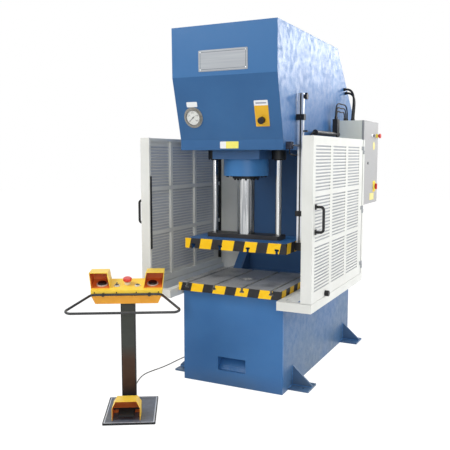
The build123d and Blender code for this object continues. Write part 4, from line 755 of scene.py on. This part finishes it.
cableLook = {"radius": 0.004, "length": 1.84, "glandR": 0.011, "glandLength": 0.024, "flange": 0.0015,
             "nutTo": 0.32, "sleeve": (0.34, 0.5), "ribs": 3, "firstRib": 0.56, "ribPitch": 0.13,
             "ribStep": 0.0012, "tip": (1.05, 1.12)}
onFloor = 0.0042
floorRoute = [(-0.622, -1.130), (-0.660, -1.045), (-0.692, -0.958), (-0.706, -0.880), (-0.694, -0.800),
              (-0.671, -0.712), (-0.656, -0.610), (-0.652, -0.505), (-0.641, -0.400), (-0.634, -0.290),
              (-0.640, -0.180), (-0.637, -0.070), (-0.626, 0.040), (-0.606, 0.145), (-0.576, 0.238)]
cableRoute = [(-0.52875, -1.32368, 0.042), (-0.55975, -1.26999, 0.042), (-0.584, -1.205, 0.022),
              *((x, y, onFloor) for x, y in floorRoute),
              (-0.536, 0.320, 0.018), (-0.480, 0.369, 0.040), (-0.418, 0.369, 0.040)]


def layCable(look, route):
    curve = bpy.data.curves.new("standCable", "CURVE")
    curve.dimensions = "3D"
    spline = curve.splines.new("NURBS")
    spline.points.add(len(route) - 1)
    for point, place in zip(spline.points, route):
        point.co = (*place, 1)
    spline.order_u = 3
    spline.use_endpoint_u = True
    curve.resolution_u = 6
    curve.bevel_depth = look["radius"]
    curve.bevel_resolution = 3
    curve.use_fill_caps = True
    cable = bpy.data.objects.new("standCable", curve)
    bpy.context.collection.objects.link(cable)
    curve.materials.append(finishes["cable_black"])
    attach(cable, "frame_group")
    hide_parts("stand_cable")


def fitGlands(look, route):
    # a nut, then a ribbed sleeve that tapers onto the cable
    r, reach, wire, flange = look["glandR"], look["glandLength"], look["radius"], look["flange"]
    profile = [(r + flange, 0), (r + flange, reach * look["nutTo"])]
    profile += [(r, reach * share) for share in look["sleeve"]]
    for rib in range(look["ribs"]):
        z = reach * (look["firstRib"] + look["ribPitch"] * rib)
        thick = r - look["ribStep"] * (rib + 1)
        profile += [(thick, z), (thick, z + 0.0016), (thick - 0.001, z + 0.002)]
    profile += [(wire + 0.002, reach * look["tip"][0]), (wire, reach * look["tip"][1])]
    for name, end, nextPoint in (("standGland", route[0], route[1]), ("frameGland", route[-1], route[-2])):
        along = Vector(nextPoint) - Vector(end)
        foot = Vector(end) - along.normalized() * reach
        sleeve = turnedPiece(name, profile, 24)
        finishPiece(sleeve, "frame_group", "gland_black", placeMatrix(foot, along, (0, 0, 1)))


layCable(cableLook, cableRoute)
fitGlands(cableLook, cableRoute)
print("cable done")


# pressure gauge: dial, shade, lens and scale

headShape = {"lipY": -0.836, "foldY": -0.951, "lowerFold": 1.776, "rise": 0.42896, "upperFold": 2.20496,
             "topLean": 0.005, "topRise": 0.33704}
gaugeLook = {"x": -0.266, "share": 0.368, "dialR": 0.0536, "level": 0.006, "paper": 0.0005, "ink": 0.0003,
             "lensLevel": 0.0113, "shadeWall": 0.0026, "ticks": 41, "zeroAt": 220, "sweep": 260,
             "long": (0.0009, 0.0042), "short": (0.0004, 0.0022), "longInset": 0.0065, "shortInset": 0.0052,
             "numbers": ("0", "100", "200", "300", "400"), "numberR": 0.034, "numberSize": 0.0125}


def slopePlace(look):
    share, run = look["share"], headShape["foldY"] - headShape["lipY"]
    spot = (look["x"], headShape["lipY"] + share * run, headShape["lowerFold"] + share * headShape["rise"])
    return placeMatrix(spot, (0, -headShape["rise"], run))


def dialSpot(look, share, radius, level):
    # a spot on the dial, and the turn of a tick there
    angle = radians(look["zeroAt"] - share * look["sweep"])
    return Matrix.Translation((radius * cos(angle), radius * sin(angle), level)), angle - pi / 2


def makeGauge(look):
    face = slopePlace(look)
    r, low, lensTop = look["dialR"], look["level"], look["lensLevel"]
    top = low + look["paper"]
    dial = turnedPiece("gaugeDial", [(0, low), (r, low), (r, top), (0, top)], 48)
    finishPiece(dial, "frame_group", "dialPaper", face)
    shade = ringPiece("gaugeShade", r - look["shadeWall"], r + 0.0002, low, lensTop - 0.0012, 48)
    finishPiece(shade, "frame_group", "blackRubber", face)
    lens = turnedPiece("gaugeLens", [(0, lensTop), (r, lensTop), (r, lensTop + 0.0006),
                                     (r * 0.6, lensTop + 0.0012), (0, lensTop + 0.0014)], 48)
    finishPiece(lens, "frame_group", "lens", face)
    major, minor = (boxPiece("scaleMark", (-wide, -tall, 0), (wide, tall, look["ink"]), 0.0001)
                    for wide, tall in (look["long"], look["short"]))
    marks = []
    for index in range(look["ticks"]):
        long = index % 10 == 0
        radius = r - (look["longInset"] if long else look["shortInset"])
        spot, turn = dialSpot(look, index / (look["ticks"] - 1), radius, top)
        marks.append(copyPiece(major if long else minor, f"dialTick{index}",
                               face @ spot @ Matrix.Rotation(turn, 4, "Z")))
    discard(major, minor)
    for index, words in enumerate(look["numbers"]):
        number = textPiece(f"dialNumber{index}", words, look["numberSize"], look["ink"])
        spot = dialSpot(look, index / (len(look["numbers"]) - 1), look["numberR"], low + 0.0006)[0]
        marks.append(settle(number, face @ spot))
    clearSelection()
    for mark in marks:
        mark.select_set(True)
    bpy.context.view_layer.objects.active = marks[0]
    bpy.ops.object.join()
    scale = bpy.context.object
    scale.name = "gaugeScale"
    finishPiece(scale, "frame_group", "dialInk")


makeGauge(gaugeLook)
print("gauge done")


# bare name plate rim and rivets on the head

nameLook = {"rise": 0.100, "width": 0.368, "height": 0.142, "thick": 0.0015, "margin": 0.008,
            "sheet": 0.0014, "rim": 0.006, "raised": 0.0009, "rivetInset": 0.014, "rivetLift": 0.0004}
rivetShape = [(0.0045, 0), (0.0045, 0.0006), (0.0036, 0.002), (0.0018, 0.0028), (0, 0.003)]


def dressNamePlate(look):
    lean = headShape["topLean"] / headShape["topRise"]
    spot = (0, headShape["foldY"] - look["rise"] * lean, headShape["upperFold"] + look["rise"])
    face = placeMatrix(spot, (0, -1, -lean)) @ Matrix.Translation((0, 0, look["thick"]))
    plate = rimPlate("nameRim", look["width"] - look["margin"], look["height"] - look["margin"],
                     look["sheet"], look["rim"], look["raised"])
    finishPiece(plate, "frame_group", "plate_pale", face)
    rivet = turnedPiece("rivet", rivetShape, 20)
    for sideX, sideY in ((-1, -1), (-1, 1), (1, -1), (1, 1)):
        corner = Matrix.Translation((sideX * (look["width"] / 2 - look["rivetInset"]),
                                     sideY * (look["height"] / 2 - look["rivetInset"]), look["rivetLift"]))
        twin = copyPiece(rivet, f"nameRivet{sideX + 1}{sideY + 1}", face @ corner)
        finishPiece(twin, "frame_group", "brightRing")
    discard(rivet)


dressNamePlate(nameLook)


# guide bushes: wiper rings and flange bolts

guideLook = {"x": 0.257, "y": -0.566, "low": 1.643, "rodR": 0.0221, "wiperGap": 0.0004, "wiperWall": 0.012,
             "wiperDeep": 0.009, "boltCircle": 0.043, "bolts": 6, "boltFlats": 0.010, "boltHead": 0.006}


def dressBushes(look):
    wiper = ringPiece("wiper", look["rodR"] + look["wiperGap"], look["rodR"] + look["wiperWall"],
                      -look["wiperDeep"], 0, 32)
    bolt = hexHead("bushBolt", look["boltFlats"], look["boltHead"])
    for side in (-1, 1):
        spot = Matrix.Translation((side * look["x"], look["y"], look["low"]))
        ring = copyPiece(wiper, f"rodWiper{side + 1}", spot)
        finishPiece(ring, "frame_group", "blackRubber")
        for index in range(look["bolts"]):
            angle = 2 * pi * (index + 0.5) / look["bolts"]
            reach = Matrix.Translation((look["boltCircle"] * cos(angle), look["boltCircle"] * sin(angle), 0))
            head = copyPiece(bolt, f"bushBolt{side + 1}{index}", spot @ reach @ Matrix.Rotation(pi, 4, "X"))
            finishPiece(head, "frame_group", "bolt_black")
    discard(wiper, bolt)


dressBushes(guideLook)
print("head and bushes done")


# welds round the feet

footLook = {"x": 0.394, "toe": 0.545, "ys": (-0.605, 0.695), "halfFoot": 0.089, "thick": 0.014, "rib": 0.008,
            "ribTop": 0.158, "bead": 0.0045}


def weldFeet(look):
    seams = []
    x, thick = look["x"], look["thick"]
    for y in look["ys"]:
        seams.append(((x, y - look["halfFoot"], thick), (0, 1, 0), 2 * look["halfFoot"]))
        for side in (-1, 1):
            corner = (x, y + side * look["rib"], thick)
            seams.append((corner, (0, 0, 1), look["ribTop"] - thick))
            seams.append((corner, (1, 0, 0), look["toe"] - x))
    beads = {}
    for index, (start, along, length) in enumerate(seams):
        if length not in beads:
            beads[length] = weldBead("bead", length, look["bead"])
        for side in (-1, 1):
            flip = Matrix.Diagonal((side, 1, 1, 1))
            spot = flip @ Vector(start)
            run = flip.to_3x3() @ Vector(along)
            across = (0, 1, 0) if abs(run.y) < 0.5 else (1, 0, 0)
            twin = copyPiece(beads[length], f"footWeld{index}{side + 1}", placeMatrix(spot, run, across))
            finishPiece(twin, "frame_group", "weld")
    discard(*beads.values())


weldFeet(footLook)
print("welds done")


# guard doors: hinge screws, handle pads, and black strips on the left one that stand in for shade in its gaps

guardLook = {"x": 0.651, "leaf": 0.654, "hinges": hingeHeights, "doorY": 0.232, "frameY": 0.297,
             "screwSteps": (0.008, 0.022), "handleY": -0.916, "handleZ": (1.175, 1.339),
             "pad": (0.008, 0.015, 0.018)}
# painted shade: black strips inside the left front flange and at the gap by the hinge side
shadeStrips = {"flangeShadeStrip": ((-0.5742, -0.9725, 0.99), (-0.5705, -0.9545, 1.52)),
              "rearShadeStrip": ((-0.6475, 0.2470, 0.752), (-0.6180, 0.2508, 1.788))}
screwShape = [(0.0045, 0), (0.0045, 0.001), (0.003, 0.0024), (0, 0.0028)]


def dressGuards(look):
    screw = turnedPiece("screw", screwShape, 16)
    thick, halfY, halfZ = look["pad"]
    for side, door in ((-1, "left_guard"), (1, "right_guard")):
        for index, z in enumerate(look["hinges"]):
            for step in look["screwSteps"]:
                for y, height, body in ((look["doorY"], z + step, door),
                                        (look["frameY"], z - step, "frame_group")):
                    name = f"hingeScrew{side + 1}{index}{int(step * 1000)}{body[0]}"
                    place = placeMatrix((side * look["leaf"], y, height), (side, 0, 0), (0, 1, 0))
                    twin = copyPiece(screw, name, place)
                    finishPiece(twin, body, "lock_steel")
        for index, z in enumerate(look["handleZ"]):
            low = min(side * look["x"], side * (look["x"] + thick))
            pad = boxPiece(f"handlePad{side + 1}{index}", (low, look["handleY"] - halfY, z - halfZ),
                           (low + thick, look["handleY"] + halfY, z + halfZ), 0.003)
            finishPiece(pad, door, "knob_black")
    discard(screw)
    for name, (low, high) in shadeStrips.items():
        finishPiece(boxPiece(name, low, high), "left_guard", "blackRubber")


dressGuards(guardLook)


# a sloping slat behind each window of the guards, painted a darker grey than the guard sheet for shade

slatLook = {"sheetX": 0.648, "firstY": -0.921, "topZ": 1.735, "width": 0.318, "drop": 0.0125, "reach": 0.0062,
            "thick": 0.0008, "lift": 0.0008, "rows": 14, "pitch": 0.022, "groups": 3, "groupPitch": 0.330,
            "columns": 3, "columnPitch": 0.377}


def addSlats(look):
    for side, door in ((-1, "left_guard"), (1, "right_guard")):
        slat = addPiece(f"guardSlats{side + 1}", bpy.ops.mesh.primitive_plane_add, size=1)
        slat.scale = (sqrt(look["drop"] ** 2 + look["reach"] ** 2), look["width"], 1)
        settle(slat)
        tilt = atan2(look["drop"], look["reach"])
        middle = (look["sheetX"] - look["reach"] / 2, look["firstY"] + look["width"] / 2,
                  look["topZ"] - look["drop"] / 2 + look["lift"])
        settle(slat, Matrix.Translation(middle) @ Matrix.Rotation(-tilt, 4, "Y"))
        wall = slat.modifiers.new("wall", "SOLIDIFY")
        wall.thickness = look["thick"]
        for count, offset in ((look["rows"], (0, 0, -look["pitch"])),
                              (look["groups"], (0, 0, -look["groupPitch"])),
                              (look["columns"], (0, look["columnPitch"], 0))):
            array = slat.modifiers.new("repeat", "ARRAY")
            array.count = count
            array.use_relative_offset = False
            array.use_constant_offset = True
            array.constant_offset_displace = offset
        applyModifiers(slat)
        if side < 0:
            slat.data.transform(Matrix.Diagonal((-1, 1, 1, 1)))
            slat.data.flip_normals()
        finishPiece(slat, door, "slatGrey")


addSlats(slatLook)
print("guards done")


# cabinet door: lamps, stop sleeve, switch base, plain plates

panelLook = {"face": 0.620, "lampZ": 1.840, "lamps": ((0.719, "blackRubber"), (0.661, "whiteLamp")),
             "bezel": (0.0112, 0.0165, 0, 0.005), "stopY": 0.836, "sleeve": (0.0163, 0.0172, 0, 0.0182),
             "switchY": 0.786, "switchZ": 1.399, "disc": (0.755, 1.752), "lowerPlate": (0.715, 1.314),
             "plateSize": (0.150, 0.060, 0.0012, 0.004, 0.0004)}
capShape = [(0.0113, 0.002), (0.0116, 0.0095), (0.0110, 0.0120), (0.007, 0.0134), (0, 0.014)]
baseShape = [(0.0252, 0.002), (0.040, 0.002), (0.040, 0.008), (0.036, 0.013), (0.0252, 0.013),
             (0.0252, 0.002)]
discShape = [(0, 0), (0.036, 0), (0.036, 0.0008), (0.0352, 0.0014), (0.032, 0.0014), (0.0315, 0.0010),
             (0, 0.0010)]


def dressPanel(look):
    def fit(piece, finishName, y, z):
        place = placeMatrix((look["face"], y, z), (1, 0, 0), (0, 1, 0))
        finishPiece(piece, "cabinet_door_group", finishName, place)

    for y, finishName in look["lamps"]:
        tag = int(y * 1000)
        fit(ringPiece(f"lampBezel{tag}", *look["bezel"], 32), "brightRing", y, look["lampZ"])
        fit(turnedPiece(f"lampCap{tag}", capShape, 28), finishName, y, look["lampZ"])
    fit(ringPiece("stopSleeve", *look["sleeve"], 32), "plainYellow", look["stopY"], look["lampZ"])
    fit(turnedPiece("switchBase", baseShape, 40), "plainYellow", look["switchY"], look["switchZ"])
    fit(turnedPiece("legendDisc", discShape, 48), "paleYellow", *look["disc"])
    fit(rimPlate("lowerPlate", *look["plateSize"]), "paleYellow", *look["lowerPlate"])


dressPanel(panelLook)
print("cabinet done")


# console: button rings, collars and screws, and the pedal's ribs

deckLook = {"front": 0.070, "depth": 0.180, "low": 0.794, "rise": 0.042, "middle": -0.028, "palms": 0.167,
            "palmShare": 0.5, "selectors": 0.068, "selectorShare": 0.36,
            "collar": (0.0201, 0.0212, 0.001, 0.0202), "screwXs": (-0.236, -0.092, 0.036, 0.180),
            "screwZ": 0.778}
palmShape = [(0.0305, 0.0061), (0.0305, 0.0068), (0.0372, 0.0068), (0.0379, 0.0060), (0.0379, 0.0004),
             (0.0371, 0.0004), (0.0371, 0.0061), (0.0305, 0.0061)]
selectorShape = [(0.0134, 0.0041), (0.0134, 0.0084), (0.0148, 0.0084), (0.0160, 0.0070), (0.0188, 0.0056),
                 (0.0197, 0.0044), (0.0197, 0.0004), (0.0191, 0.0004), (0.0191, 0.0041), (0.0134, 0.0041)]
deckScrewShape = [(0.0042, 0), (0.0042, 0.0008), (0.003, 0.002), (0, 0.0024)]
pedalLook = {"x": -0.020, "y": -0.088, "z": 0.054, "slope": 12, "half": 0.048, "ribs": 8, "length": 0.080,
             "firstRib": -0.006, "ribHalf": 0.0028, "ribLow": 0.0045, "ribTop": 0.0085, "ribEdge": 0.0012}
standPlace = Matrix.Translation((standLook["x"], standLook["y"], 0)) @ Matrix.Rotation(
    radians(standLook["turn"]), 4, "Z")


def deckPlace(look, x, share):
    spot = (x, look["front"] + share * look["depth"], look["low"] + share * look["rise"])
    return standPlace @ placeMatrix(spot, (0, -look["rise"], look["depth"]))


def dressConsole(look):
    for side in (-1, 1):
        for name, profile, steps, reach, share in (
                ("palmRing", palmShape, 48, look["palms"], look["palmShare"]),
                ("selectorRing", selectorShape, 36, look["selectors"], look["selectorShare"])):
            place = deckPlace(look, look["middle"] + side * reach, share)
            finishPiece(turnedPiece(f"{name}{side + 1}", profile, steps), "frame_group", "paleCollar", place)
    finishPiece(ringPiece("stopCollar", *look["collar"], 36), "frame_group", "paleCollar",
                deckPlace(look, look["middle"], look["palmShare"]))
    screw = turnedPiece("screw", deckScrewShape, 16)
    for index, x in enumerate(look["screwXs"]):
        place = standPlace @ placeMatrix((x, look["front"], look["screwZ"]), (0, -1, 0))
        twin = copyPiece(screw, f"consoleScrew{index}", place)
        finishPiece(twin, "frame_group", "bolt_black")
    discard(screw)


def ribPedal(look):
    place = standPlace @ Matrix.Translation((look["x"], look["y"], look["z"])) @ Matrix.Rotation(
        radians(look["slope"]), 4, "X")
    rib = boxPiece("rib", (-look["half"], -look["ribHalf"], look["ribLow"]),
                   (look["half"], look["ribHalf"], look["ribTop"]), look["ribEdge"])
    for index in range(look["ribs"]):
        y = look["firstRib"] - index * look["length"] / (look["ribs"] - 1)
        twin = copyPiece(rib, f"pedalRib{index}", place @ Matrix.Translation((0, y, 0)))
        finishPiece(twin, "pedal_group", "pedal_black")
    discard(rib)


dressConsole(deckLook)
ribPedal(pedalLook)
print("stand done")


# a bright ring at the table's bore: a painted highlight on the bore's rim

boreLook = {"y": -0.566, "face": 0.748, "ring": (0.0525, 0.0549, -0.004, -0.0002)}


def dressBore(look):
    rim = ringPiece("boreHighlightRing", *look["ring"], 56)
    finishPiece(rim, "frame_group", "brightRing", Matrix.Translation((0, look["y"], look["face"])))


dressBore(boreLook)
